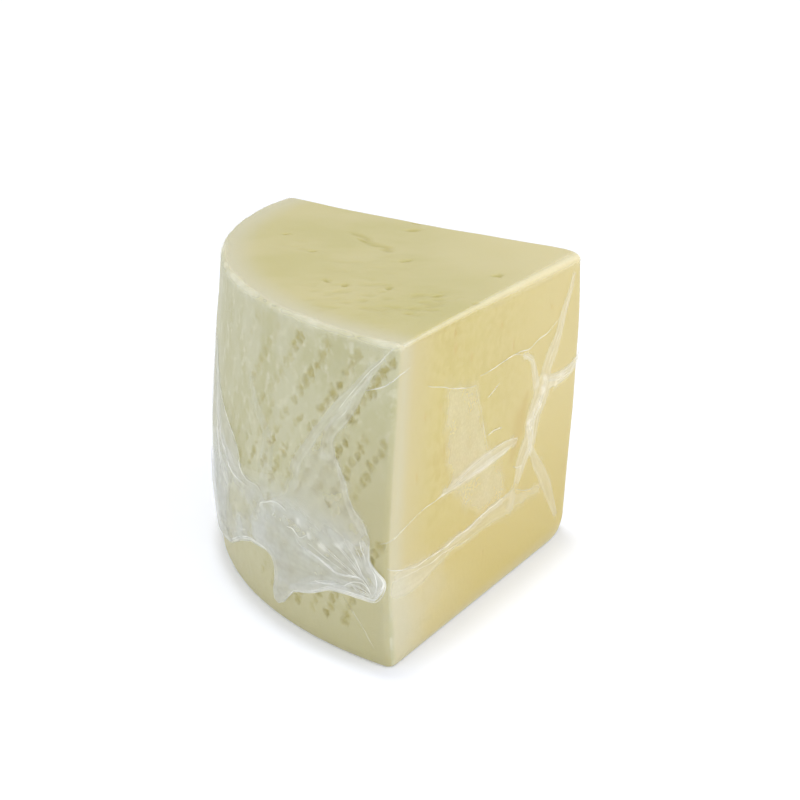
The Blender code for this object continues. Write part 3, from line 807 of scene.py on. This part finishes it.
def edge_glint(p):
    """A painted highlight where the film is stretched over the edges of the sawn top: a narrow,
    uneven line on the rind's side, and a soft band on the front cut's side that widens towards the
    thin end."""
    x, y, z = p.T / MM
    radius = np.hypot(x, y)
    inward = np.clip(1 - radius / WHEEL_RADIUS * MM, 0, 1)
    front = -(math.sin(HALF_ANGLE) * x - math.cos(HALF_ANGLE) * y)
    back = -(math.sin(HALF_ANGLE) * x + math.cos(HALF_ANGLE) * y)
    below = HEIGHT / MM - z
    wander = 0.25 * soft_noise(p, 10 * MM, 23)
    uneven = 0.75 + 0.6 * soft_noise(p, 14 * MM, 21) + 0.25 * soft_noise(p, 5 * MM, 22)
    uneven = np.clip(uneven, 0.2, 1.2)
    glint = np.zeros(len(p))
    for beside_it, down, across, strength in (
        (front, 0.6 + 1.6 * inward, 0.6 + 4 * inward ** 2, 0.46 - 0.12 * inward),
        (WHEEL_RADIUS / MM - radius, 1.5, 1.4, 0.44 * uneven),
        (back, 0.8, 0.8, 0.08),
    ):
        line = fade(below + wander, 2.1 * down, 0)
        line *= fade(beside_it + wander, 2.1 * across, 0)
        glint = np.maximum(glint, strength * line)
    return glint


def finish_film(piece, film):
    """Finishes a piece of film, which is too thin to throw a shadow."""
    finish_piece(piece, film, "film")
    piece.visible_shadow = False


def make_wrap(film):
    """The film that lies close on the cheese, all the way round."""
    wrap = wedge_blank("film_wrap", WRAP_GRAIN, FILM_GAP)

    def folded(p):
        milky, lift = veil_cover(flat_place(p))
        return (milky > FAINT) | (lift > FAINT * MM) | (edge_glint(p) > FAINT)

    def in_fold(p):
        return veil_cover(flat_place(p))[1] > 0.03 * MM

    refine(wrap, lambda p: on_edges(p) | folded(p), FILM_GAP)
    refine(wrap, lambda p: (on_edges(p) & (p[:, 2] > 0.5 * HEIGHT)) | in_fold(p), FILM_GAP)

    p = points_of(wrap)
    flat = flat_place(p)
    glint = edge_glint(p)
    milky, lift = veil_cover(flat)
    # The edge glint is a painted highlight, laid in as haze.
    milky = 1 - (1 - milky) * (1 - glint)
    lift += 0.1 * MM * (1 + soft_noise(p, 20 * MM, 24))
    shaped = swollen(p + wedge_normal(p) * lift[:, None])
    shaped[:, 2] = np.maximum(shaped[:, 2], 0)
    move_points(wrap, shaped)
    keep_value(wrap, "haze", milky)

    # Painted light: the film's tone is whiter on the front cut face, where more light falls, and as
    # a painted highlight in crumpled spots and over the edges. Frosted in the first of the panes,
    # and on the sawn top near the front corner.
    painted_light = 0.35 + 0.15 * fade(flat[:, 0], 2 * MM, -2 * MM) + 0.6 * glinting_crumples(flat)
    keep_value(wrap, "painted_light", np.clip(np.maximum(painted_light, 8 * glint), 0, 1))
    frosted = depth_inside(flat, PANES[0][2]) / MM + 2 * soft_noise(p, 5 * MM, 26)
    corner = 0.8 * fade(spread_over(p[:, :2], -103, -86, 1, 1), 26, 6)
    corner = corner * (p[:, 2] > HEIGHT - 1 * MM)
    keep_value(wrap, "frost", np.maximum(fade(frosted, -2, 3), corner))
    finish_film(wrap, film)


def make_gather(film):
    """The bunched tail of the film: a crumpled sheet, cut to its outline and laid on the rind."""
    outline = np.array(GATHER_OUTLINE, float) * MM
    low, high = outline.min(axis=0) - GATHER_GRAIN, outline.max(axis=0) + GATHER_GRAIN
    bpy.ops.object.select_all(action="DESELECT")
    columns, rows = ((high - low) / GATHER_GRAIN).astype(int)
    bpy.ops.mesh.primitive_grid_add(x_subdivisions=int(columns), y_subdivisions=int(rows), size=2)
    gather = bpy.context.object
    name_piece(gather, "film_gather")
    p = points_of(gather)
    p[:, :2] = low + (p[:, :2] + 1) / 2 * (high - low)
    move_points(gather, p)
    edit_faces(gather, depth_inside(face_middles(gather)[:, :2], GATHER_OUTLINE) < 0)
    bpy.ops.mesh.delete(type="FACE")
    bpy.ops.object.mode_set(mode="OBJECT")

    # The sheet's border is moved onto the outline.
    p = points_of(gather)
    for _ in range(2):
        flat = p[:, :2]
        depth = depth_inside(flat, GATHER_OUTLINE)
        steps = np.eye(2) * SLOPE_STEP
        slope = [depth_inside(flat + step, GATHER_OUTLINE) - depth for step in steps]
        near = depth < 0.6 * GATHER_GRAIN
        p[near, :2] -= (np.stack(slope, axis=1) / SLOPE_STEP * depth[:, None])[near]

    # Light crosses both faces of the sheet's wall, so each gets half of the haze.
    flat = p[:, :2]
    milky, lift = gather_cover(flat)
    keep_value(gather, "haze", 1 - np.sqrt(1 - milky))
    # Painted highlight: the crumpled spots and a line along the tail's rim are made whiter.
    rim, _, _ = beside(flat, smooth_route(GATHER_RIM, 2 * MM))
    painted_light = np.maximum(0.8 * glinting_crumples(flat), 0.25 * fade(np.abs(rim), 1.8 * MM, 0.3 * MM))
    keep_value(gather, "painted_light", np.clip(painted_light, 0, 1))
    p[:, 2] = lift + FILM_GAP
    move_points(gather, wrapped(p))
    pick(gather)
    wall = gather.modifiers.new("wall", "SOLIDIFY")
    wall.thickness = GATHER_WALL
    wall.offset = -1
    bpy.ops.object.modifier_apply(modifier=wall.name)
    edit_faces(gather, np.ones(len(gather.data.polygons), bool))
    bpy.ops.mesh.normals_make_consistent(inside=False)
    bpy.ops.object.mode_set(mode="OBJECT")
    move_points(gather, swollen(points_of(gather)))
    finish_film(gather, film)


# Rolled creases in the film, flat: width, how many lie side by side, how far apart they spread,
# how milky they are, and their bends in mm.
CREASES = (
    (0.35, 1, 0, 0.3, ((-135.6, 115.3), (-130.4, 105.9), (-127, 99.8), (-121, 92), (-117, 84))),
    (0.45, 1, 0, 0.45, (
        (-127, 105.5), (-118.6, 102.5), (-109.8, 101.3), (-102.3, 99.3), (-95.2, 99.9),
        (-88.6, 100.4), (-84.2, 100.3), (-75.8, 99.9), (-67.7, 99.4), (-59.6, 99.8))),
    (0.35, 1, 0, 0.35, (
        (-88.5, 100.3), (-92.6, 99), (-99.3, 96.6), (-104, 93.6), (-105.5, 90.8), (-106.5, 87.2),
        (-108, 84.1))),
    (0.45, 3, 3.6, 0.45, (
        (-152, 86), (-144.3, 82.5), (-138.6, 80), (-132.1, 79.3), (-126.7, 79.4), (-119, 80.6))),
    (0.4, 2, 5, 0.3, (
        (-117, 84), (-115, 78), (-112, 73.4), (-107.6, 68.4), (-105.8, 62), (-105.4, 56),
        (-101, 50), (-97, 44))),
    (0.4, 1, 0, 0.35, ((-92.3, 51.2), (-95.6, 49.6), (-99.6, 49.4))),
    (0.3, 1, 0, 0.3, ((-94.5, 40.6), (-95.4, 37.2), (-94.4, 33.9), (-94.6, 30.8))),
    (0.3, 1, 0, 0.3, ((-94.6, 40.4), (-99.2, 38.2), (-103.5, 36.3), (-109.7, 34.6), (-114.5, 35))),
    (0.5, 1, 0, 0.5, (
        (-89, 40.4), (-79.7, 39.4), (-73.3, 39.3), (-61.5, 38.1), (-52.1, 37.3), (-42.8, 37),
        (-34.5, 36.6), (-25.2, 37.1), (-17.2, 37.4), (-11.2, 38.8), (-5, 41.2), (1, 43.6))),
    (0.35, 1, 0, 0.4, (
        (-58, 32.6), (-52.4, 32.8), (-45, 34), (-37, 34.6), (-28, 34.4), (-16.1, 35.9),
        (-11.9, 36.2), (-7.2, 36.9), (-1, 38))),
    (0.4, 1, 0, 0.45, (
        (-95, 62.8), (-85, 64.6), (-72, 64.6), (-58, 63.6), (-46, 61.6), (-33, 60))),
    (0.4, 1, 0, 0.4, (
        (-88, 60.2), (-76, 60), (-62, 59.6), (-50, 60), (-33.1, 59.7), (-22.4, 59.2),
        (-12.2, 57.6), (-4.3, 55.6), (4, 53))),
    (0.4, 1, 0, 0.35, (
        (-19.7, 107.8), (-28.6, 104.7), (-40.2, 100.6), (-52, 97.5), (-57.3, 96.8))),
    (0.3, 1, 0, 0.25, ((-56.5, 96.7), (-59.6, 90), (-62.8, 84), (-65.4, 76), (-69.6, 67))),
    (0.6, 1, 0, 0.28, ((-76.6, 92), (-72, 90.3), (-67, 88.6))),
    (0.9, 1, 0, 0.28, ((-80.6, 72), (-73.9, 72.9), (-69, 72.4))),
    (0.35, 1, 0, 0.4, (
        (3, 127), (7.6, 121.3), (11.6, 117.4), (15.6, 112.4), (20, 106.4), (26, 98))),
    (0.3, 1, 0, 0.3, (
        (11.2, 116.8), (13.4, 111.9), (18, 106.5), (21.2, 100.4), (25, 95.4), (27, 91))),
    (0.4, 1, 0, 0.4, ((-6, 119), (0, 116.9), (2.9, 114.9), (6, 112.8), (9.3, 111), (13.6, 109))),
    (0.3, 1, 0, 0.32, (
        (26, 85.4), (25.4, 81.8), (24.5, 79.3), (22.1, 76.1), (19.7, 72.3), (18.4, 68.2),
        (17.2, 65.5), (15.7, 63), (12.9, 60.8), (11.1, 59.8), (10.4, 56.9), (8.3, 54.5),
        (7.9, 51.6), (7.7, 45.3))),
    (0.55, 1, 0, 0.55, (
        (120.5, 78), (115.8, 68.6), (111.6, 64.5), (107.6, 58.8), (101.7, 56.9), (99.5, 54.2),
        (93.4, 51), (85.8, 50.6), (78, 50.6))),
    (0.4, 1, 0, 0.4, (
        (114, 79), (108.7, 74.8), (102.9, 71.7), (97, 68.6), (92.8, 66.3), (88.9, 63),
        (86.1, 58.6), (84.3, 55.6), (78.1, 53.4), (69.9, 54.2), (66.1, 52.8))),
    (0.4, 2, 4, 0.35, ((118, 66), (112, 56), (104, 48), (97, 43))),
    (0.45, 1, 0, 0.45, (
        (66.4, 46.4), (66.1, 48.4), (62.4, 50.4), (57.8, 52.3), (53, 52.7), (49, 51.4))),
    (0.45, 1, 0, 0.5, ((57, 51.6), (56.6, 48.6), (58, 46))),
    (0.5, 1, 0, 0.55, ((48.7, 45.4), (45.2, 45.8), (42.8, 44.2), (40.6, 43.6), (36.7, 46))),
    (0.4, 2, 1, 0.42, (
        (44, 43.4), (41.2, 41.2), (34.8, 39.5), (30.2, 38.5), (25.8, 37.1), (22.7, 35.9),
        (18.8, 36.1), (12, 37.2))),
    (0.4, 1, 0, 0.42, (
        (18.8, 50.4), (16.9, 48.2), (14, 44.8), (12, 41.8), (9.9, 38), (7.2, 34.4))),
    (0.4, 1, 0, 0.5, ((21, 35.8), (16, 36.8), (11.5, 37.1), (9.2, 35.3), (6.9, 32.3))),
    (0.45, 1, 0, 0.55, (
        (20, 29.8), (17.3, 32.6), (14, 34.8), (10.6, 35.1), (7.9, 33.4), (6.6, 31.6))),
    (0.3, 3, 2.4, 0.4, ((15.4, 33.6), (12.6, 32.2), (9.6, 31.8), (7.2, 31.2))),
    (0.45, 1, 0, 0.5, ((33.5, 28.6), (31.5, 28.2), (28.2, 28.9), (24.2, 30.1), (22.9, 29.1))),
    (0.4, 1, 0, 0.45, ((12, 52), (11, 49), (9.6, 46.4), (9.4, 43))),
    (0.42, 3, 2, 0.42, (
        (7.9, 51), (7.6, 45.5), (5.3, 42.4), (2.9, 40.2), (1.8, 37.7), (2.5, 34.5), (4, 31.2),
        (6, 29.2), (9.3, 29), (13.3, 28.9), (17.4, 28.7), (21.6, 28.3), (27, 27.1), (31.7, 24.6),
        (36.7, 21.9), (41.9, 20), (46.3, 18.2))),
    (0.45, 1, 0, 0.5, ((7.9, 45), (7.2, 42.6), (5.3, 40.2), (4.3, 36.9), (5, 32.9), (6.8, 30.3))),
    (0.45, 1, 0, 0.3, ((41.9, 20), (46.3, 18.2), (50.1, 14.5), (54.3, 10.2), (58.6, 7.6))),
    (0.35, 1, 0, 0.3, ((61, 13), (58.9, 20.2), (58.9, 24.9), (60.5, 28))),
    (0.55, 2, 1.6, 0.4, (
        (117, 13), (100.8, 17.2), (85.5, 25), (76.3, 28.6), (69.6, 29.6), (61, 29.4))),
    (0.3, 1, 0, 0.25, ((20.5, 26.4), (13.8, 18.2), (6.7, 7.7))),
    (0.3, 2, 1.6, 0.4, ((31, 45.4), (24, 42.4), (17, 39.2), (10, 36))),
    (0.3, 2, 1.8, 0.35, ((24, 48), (18.6, 44.6), (13.6, 41), (9, 36.6))),
    (0.3, 1, 0, 0.4, ((37, 43), (29, 40.6), (21, 38.2), (13, 36.6))),
    (0.3, 2, 2, 0.35, ((38, 25.4), (31, 28.6), (24, 31), (16, 32))),
    (0.3, 1, 0, 0.35, ((20, 52), (15.4, 50), (12.4, 47), (10.4, 43))),
    (0.35, 2, 3, 0.35, ((122, 72), (117, 62), (112, 55), (106, 49))),
    (0.35, 1, 0, 0.35, ((104, 54), (100, 49), (97, 44))),
    (0.3, 1, 0, 0.3, ((63, 49), (61.4, 45), (62, 41))),
    (0.3, 1, 0, 0.3, ((90, 28), (84, 29.4), (78, 31.6), (72, 32.4))),
)


def film_top(flat):
    """How far the outermost film stands off at flat points."""
    _, lift = veil_cover(flat)
    _, tail = gather_cover(flat)
    return FILM_GAP + 0.1 * MM + np.maximum(lift, tail)


def crease_lines(width, count, spread, bends, seed):
    """The lines of one bundle of creases: flat points with their distance off, and radii."""
    route = smooth_route(bends, CREASE_STEP)
    way = np.gradient(route, axis=0)
    way /= np.linalg.norm(way, axis=1, keepdims=True)
    across = np.stack((-way[:, 1], way[:, 0]), axis=1)
    share = np.linspace(0.001, 0.999, len(route))
    walk = np.arange(len(route)) * CREASE_STEP
    belly = np.sqrt(np.sin(math.pi * share))
    for i in range(count):
        wander = np.array([noise.noise(Vector((w / (9 * MM), seed, i * 4.1))) for w in walk])
        swell = np.array([noise.noise(Vector((w / (5 * MM), seed + 9, i * 2.7))) for w in walk])
        shift = ((i + 0.5) / count - 0.5) * spread * belly + 0.5 * wander
        flat = route + across * shift[:, None] * MM
        radius = 0.55 * width * MM * (0.15 + 0.85 * belly) * (1 + 0.3 * swell)
        yield np.column_stack((flat, film_top(flat))), radius


def make_creases(film):
    """The film's rolled creases, drawn flat as thin round lines, pressed to half their height and
    then wrapped on."""
    drawing = bpy.data.curves.new("film_creases", "CURVE")
    drawing.dimensions = "3D"
    drawing.twist_mode = "Z_UP"
    drawing.bevel_depth = 1
    drawing.bevel_resolution = 1
    milky, middles = [], []
    for seed, (width, count, spread, haze, bends) in enumerate(CREASES):
        for line, radius in crease_lines(width, count, spread, bends, seed):
            spline = drawing.splines.new("POLY")
            spline.points.add(len(line) - 1)
            spline.points.foreach_set("co", np.column_stack((line, np.ones(len(line)))).ravel())
            spline.points.foreach_set("radius", radius)
            milky += [haze] * len(line)
            middles += list(line[:, 2])
    creases = bpy.data.objects.new("film_creases", drawing)
    bpy.context.scene.collection.objects.link(creases)
    pick(creases)
    bpy.ops.object.convert(target="MESH")
    p = points_of(creases)
    around = len(p) // len(milky)
    uneven = 0.88 + 0.7 * soft_noise(p, (6 * MM, 6 * MM, 1), 31)
    keep_value(creases, "haze", np.clip(np.repeat(milky, around) * uneven, 0.05, 0.9))
    # Painted highlight: the creases' tone is made whiter, unevenly.
    keep_value(creases, "painted_light", np.clip(0.7 * uneven, 0, 1))
    middles = np.repeat(middles, around)
    p[:, 2] = middles + 0.5 * (p[:, 2] - middles)
    move_points(creases, swollen(wrapped(p)))
    edit_faces(creases, np.ones(len(creases.data.polygons), bool))
    bpy.ops.mesh.fill_holes(sides=0)
    bpy.ops.mesh.normals_make_consistent(inside=False)
    bpy.ops.object.mode_set(mode="OBJECT")
    finish_film(creases, film)


# ---------------------------------------------------------------- materials

def colour(code):
    """A linear colour from an sRGB hex code."""
    channels = [int(code[i:i + 2], 16) / 255 for i in (1, 3, 5)]
    linear = [c / 12.92 if c <= 0.04045 else ((c + 0.055) / 1.055) ** 2.4 for c in channels]
    return linear + [1]


def add(tree, kind, values=None, links=None, **settings):
    """Adds a node with its settings, its fixed values and its links."""
    node = tree.nodes.new("ShaderNode" + kind)
    for name, value in settings.items():
        setattr(node, name, value)
    for socket, value in (values or {}).items():
        node.inputs[socket].default_value = value
    for socket, source in (links or {}).items():
        tree.links.new(source, node.inputs[socket])
    return node


def blank_material(name):
    material = bpy.data.materials.new(name)
    material.use_nodes = True
    material.node_tree.nodes.clear()
    return material, material.node_tree


def pressed_curd():
    """Hard pressed curd: faintly waxy, so light sinks in a little and edges glow. It is warm
    straw inside, paler on the sawn top and greyer under the rind, with olive in the pits."""
    material, tree = blank_material("pressed_curd")
    place = add(tree, "TexCoord").outputs["Object"]
    share = {}

    # Patterns: how they are stretched, features in a metre, detail, and where they start and end.
    # Clouds are about 40 mm across, blushes 90, streaks 30 and mottles 17. Curd grains are about
    # 1 mm, and speckle, bloom and crumbs are drawn at 3 to 4 mm, so that they show.
    for name, stretch, scale, detail, low, high in (
        ("cloud", (1, 1, 1), 24, 3, 0.35, 0.68),
        ("blush", (1, 1, 1), 11, 2, 0.48, 0.72),
        ("speckle", (1, 1, 1), 300, 4, 0.35, 0.65),
        ("streak", (0.8, 1, 1), 34, 6, 0.3, 0.7),
        ("mottle", (1, 1, 0.6), 60, 5, 0.35, 0.65),
        ("bloom", (1, 1, 1), 240, 4, 0.5, 0.72),
    ):
        spot = add(tree, "Mapping", {"Scale": stretch}, {"Vector": place})
        pattern = add(tree, "TexNoise",
                      {"Scale": scale, "Detail": detail, "Roughness": 0.55},
                      {"Vector": spot.outputs["Vector"]})
        step = add(tree, "MapRange", {"From Min": low, "From Max": high},
                   {"Value": pattern.outputs["Fac"]}, interpolation_type="SMOOTHSTEP")
        share[name] = step.outputs["Result"]
    for name in ("pit", "eye", "shade", "sawn", "rind_depth"):
        share[name] = add(tree, "Attribute", attribute_name=name).outputs["Fac"]
    crumbs = add(tree, "TexNoise", {"Scale": 380, "Detail": 3}, {"Vector": place})
    crumbs = add(tree, "MapRange",
                 {"From Min": 0.35, "From Max": 0.65, "To Min": 0.5, "To Max": 1.3},
                 {"Value": crumbs.outputs["Fac"]})
    pit = add(tree, "Math", {}, {0: share["pit"], 1: crumbs.outputs["Result"]},
              operation="MULTIPLY", use_clamp=True)
    share["pit"] = pit.outputs[0]

    # Layers by depth below the rind in mm, and zones by height and by length in metres.
    split = add(tree, "SeparateXYZ", {}, {0: place})
    for name, source, low, high in (
        ("inner", share["rind_depth"], 2.5, 12.0),
        ("ring", share["rind_depth"], 1.5, 17.0),
        ("deep", share["rind_depth"], 6.0, 32.0),
        ("inside", share["rind_depth"], 0.5, 1.8),
        ("low", split.outputs["Z"], 0.08, 0.02),
        ("thin_end", split.outputs["X"], 0.0, 0.075),
    ):
        zone = add(tree, "MapRange", {"From Min": low, "From Max": high},
                   {"Value": source}, interpolation_type="SMOOTHSTEP")
        share[name] = zone.outputs["Result"]

    # Each tone is the first one where its pattern is at 0, and the second where it is at 1.
    hue = {}
    for name, by, first, second in (
        ("paste", "cloud", "#BDAE65", "#B8A75D"),
        ("paste", "blush", "paste", "#BFA962"),
        ("grainy", "speckle", "paste", "#C2B36F"),
        # Painted light: the next tone makes the paste paler towards the thin end, where more light
        # falls.
        ("lit_paste", "thin_end", "grainy", "#C6B677"),
        ("low_paste", "low", "lit_paste", "#BEAC63"),
        ("shaded", "shade", "low_paste", "#BAA45C"),
        ("ringed", "deep", "#C0B27C", "shaded"),
        ("pale_paste", "inner", "#C0B893", "ringed"),
        ("middle", "streak", "#C5BC86", "#BDB577"),
        # Painted light: the next tone makes the top paler towards the thin end, where more light
        # falls.
        ("lit_top", "thin_end", "middle", "#CFC48F"),
        ("pale_top", "ring", "#C7C2A2", "lit_top"),
        ("cut", "sawn", "pale_paste", "pale_top"),
        ("skin", "mottle", "#B7B593", "#AEAB80"),
        ("bloomed", "bloom", "skin", "#C0BE9F"),
        # Painted shade: the next tone darkens the rind low down and towards the front corner.
        ("shaded_skin", "shade", "bloomed", "#AFA97D"),
        ("body", "inside", "shaded_skin", "cut"),
        ("pitted", "pit", "body", "#A69D60"),
        ("hollow", "sawn", "#BFA25C", "#B0A65E"),
        ("marked", "eye", "pitted", "hollow"),
    ):
        node = add(tree, "Mix", {}, {0: share[by]}, data_type="RGBA")
        for socket, tone in ((6, first), (7, second)):
            if tone in hue:
                tree.links.new(hue[tone], node.inputs[socket])
            else:
                node.inputs[socket].default_value = colour(tone)
        hue[name] = node.outputs[2]

    # The surface has the grain of the curd, also drawn coarser than it is.
    grain = add(tree, "TexNoise", {"Scale": 420, "Detail": 5}, {"Vector": place})
    bump = add(tree, "Bump", {"Strength": 0.35, "Distance": 0.0003},
               {"Height": grain.outputs["Fac"]}).outputs["Normal"]
    shader = add(tree, "BsdfPrincipled",
                 {"Roughness": 0.5, "Subsurface Weight": 0.25, "Subsurface Radius": (1, 0.8, 0.5),
                  "Subsurface Scale": 0.004},
                 {"Base Color": hue["marked"], "Normal": bump})
    add(tree, "OutputMaterial", {}, {"Surface": shader.outputs[0]})
    return material


def cling_film():
    """Thin clear film: almost nothing but a faint gloss where it lies flat, and milky grey
    where it is creased, stretched or several layers deep."""
    material, tree = blank_material("cling_film")
    place = add(tree, "TexCoord").outputs["Object"]
    kept = {}
    for name in ("haze", "frost", "painted_light"):
        kept[name] = add(tree, "Attribute", attribute_name=name).outputs["Fac"]

    # Fine scratches and frost, features in a metre: the real ones are well under 1 mm, and these
    # are drawn at 1 to 1.5 mm, so that they show.
    share = {}
    for name, scale, detail, start, end, low, high, how in (
        ("scratches", 700, 2, 0.3, 0.7, 1.12, 1.22, "LINEAR"),
        ("grains", 900, 3, 0.35, 0.75, 0.0, 0.06, "SMOOTHSTEP"),
    ):
        pattern = add(tree, "TexNoise", {"Scale": scale, "Detail": detail},
                      {"Vector": place})
        span = {"From Min": start, "From Max": end, "To Min": low, "To Max": high}
        step = add(tree, "MapRange", span, {"Value": pattern.outputs["Fac"]},
                   interpolation_type=how)
        share[name] = step.outputs["Result"]
    frost = add(tree, "Math", {}, {0: kept["frost"], 1: share["grains"]},
                operation="MULTIPLY")
    haze = add(tree, "Math", {},
               {0: kept["haze"], 1: share["scratches"], 2: frost.outputs[0]},
               operation="MULTIPLY_ADD", use_clamp=True)

    # Slack film ripples about every 9 mm.
    ripple = add(tree, "TexNoise", {"Scale": 110, "Detail": 2, "Distortion": 0.8},
                 {"Vector": place})
    bump = add(tree, "Bump", {"Strength": 0.12, "Distance": 0.0005},
               {"Height": ripple.outputs["Fac"]}).outputs["Normal"]
    # Painted light: the tone goes whiter with the kept brightness, for painted highlights on the
    # creases, the crumpled spots, the tail's rim and the top's edges, and on the better-lit front
    # cut face.
    tone = add(tree, "Mix", {6: colour("#E3E5E4"), 7: colour("#FFFFFD")},
               {0: kept["painted_light"]}, data_type="RGBA").outputs[2]
    front = add(tree, "BsdfPrincipled", {"Roughness": 0.45, "Specular IOR Level": 0.35},
                {"Base Color": tone, "Normal": bump})
    through = add(tree, "BsdfTranslucent", {}, {"Color": tone, "Normal": bump})
    milky = add(tree, "MixShader", {0: 0.5}, {1: front.outputs[0], 2: through.outputs[0]})
    clear = add(tree, "BsdfTransparent")
    gloss = add(tree, "BsdfGlossy", {"Color": (1, 1, 1, 1), "Roughness": 0.3},
                {"Normal": bump})
    edgeways = add(tree, "LayerWeight", {"Blend": 0.5}, {"Normal": bump})
    edgeways = add(tree, "Math", {1: 4.0}, {0: edgeways.outputs["Facing"]},
                   operation="POWER")
    shine = add(tree, "MapRange", {"To Min": 0.02, "To Max": 0.08},
                {"Value": edgeways.outputs[0]})
    sheer = add(tree, "MixShader", {},
                {0: shine.outputs["Result"], 1: clear.outputs[0], 2: gloss.outputs[0]})
    body = add(tree, "MixShader", {},
               {0: haze.outputs[0], 1: sheer.outputs[0], 2: milky.outputs[0]})
    add(tree, "OutputMaterial", {}, {"Surface": body.outputs[0]})
    return material


def light_table():
    """White acrylic lit from below, as product photographers use: it keeps shadows small."""
    material, tree = blank_material("light_table")
    shader = add(tree, "BsdfPrincipled",
                 {"Base Color": colour("#EDF0FA"), "Roughness": 0.9, "Specular IOR Level": 0.1,
                  "Emission Color": (1, 1, 1, 1), "Emission Strength": 0.16})
    add(tree, "OutputMaterial", {}, {"Surface": shader.outputs[0]})
    return material


# ---------------------------------------------------------------- the studio

FLOOR_RADIUS = 6
LAMP_AIM = Vector((0, 0, 0.06))

# Lamps: name, kind, place, angle or width, and power.
LAMPS = (
    ("overhead", "SUN", (-0.02, 0.2, 2.0), math.radians(8), 0.9),
    ("right", "AREA", (1.1, -1.1, 0.5), 0.8, 8.5),
    ("left", "AREA", (-1.3, -0.9, 0.5), 1.4, 7),
)


def make_camera():
    yaw, pitch = CAMERA_YAW, CAMERA_PITCH
    forward = Vector((math.sin(yaw), math.cos(yaw), 0))
    ahead = forward * math.cos(pitch) + Vector((0, 0, -math.sin(pitch)))
    level = Vector((math.cos(yaw), -math.sin(yaw), 0))
    upright = level.cross(ahead)
    right = level * math.cos(CAMERA_ROLL) + upright * math.sin(CAMERA_ROLL)
    up = right.cross(ahead)
    camera = bpy.data.objects.new("camera", bpy.data.cameras.new("camera"))
    camera.data.lens = CAMERA_LENS
    camera.data.sensor_width = 36
    camera.data.clip_end = 20
    turn = Matrix((right, up, -ahead)).transposed()
    camera.matrix_world = Matrix.Translation(CAMERA_EYE + Vector((AXIS_X, 0, 0))) @ turn.to_4x4()
    bpy.context.scene.collection.objects.link(camera)
    bpy.context.scene.camera = camera


def make_studio():
    """A plain pale floor, a white room that is a little dimmer overhead, and three soft lamps."""
    bpy.ops.object.select_all(action="DESELECT")
    bpy.ops.mesh.primitive_circle_add(vertices=96, radius=FLOOR_RADIUS, fill_type="NGON")
    floor = bpy.context.object
    floor.name = "floor"
    floor.data.materials.append(light_table())

    world = bpy.data.worlds.new("studio")
    world.use_nodes = True
    tree = world.node_tree
    outward = add(tree, "TexCoord").outputs["Generated"]
    height = add(tree, "SeparateXYZ", {}, {0: outward}).outputs["Z"]
    walls = add(tree, "MapRange",
                {"From Min": 0.0, "From Max": 0.9, "To Min": 0.79, "To Max": 0.69},
                {"Value": height}).outputs["Result"]
    tree.links.new(walls, tree.nodes["Background"].inputs["Strength"])
    tree.nodes["Background"].inputs["Color"].default_value = (1, 1, 1, 1)
    bpy.context.scene.world = world

    for name, kind, place, size, power in LAMPS:
        lamp = bpy.data.objects.new(name, bpy.data.lights.new(name, kind))
        if kind == "SUN":
            lamp.data.angle = size
        else:
            lamp.data.size = size
        lamp.data.energy = power
        lamp.location = place
        aim = (LAMP_AIM - Vector(place)).to_track_quat("-Z", "Y")
        lamp.rotation_euler = aim.to_euler()
        bpy.context.scene.collection.objects.link(lamp)
    bpy.context.scene.view_settings.view_transform = "Standard"


make_camera()
make_studio()
make_cheese()
film = cling_film()
make_wrap(film)
make_gather(film)
make_creases(film)
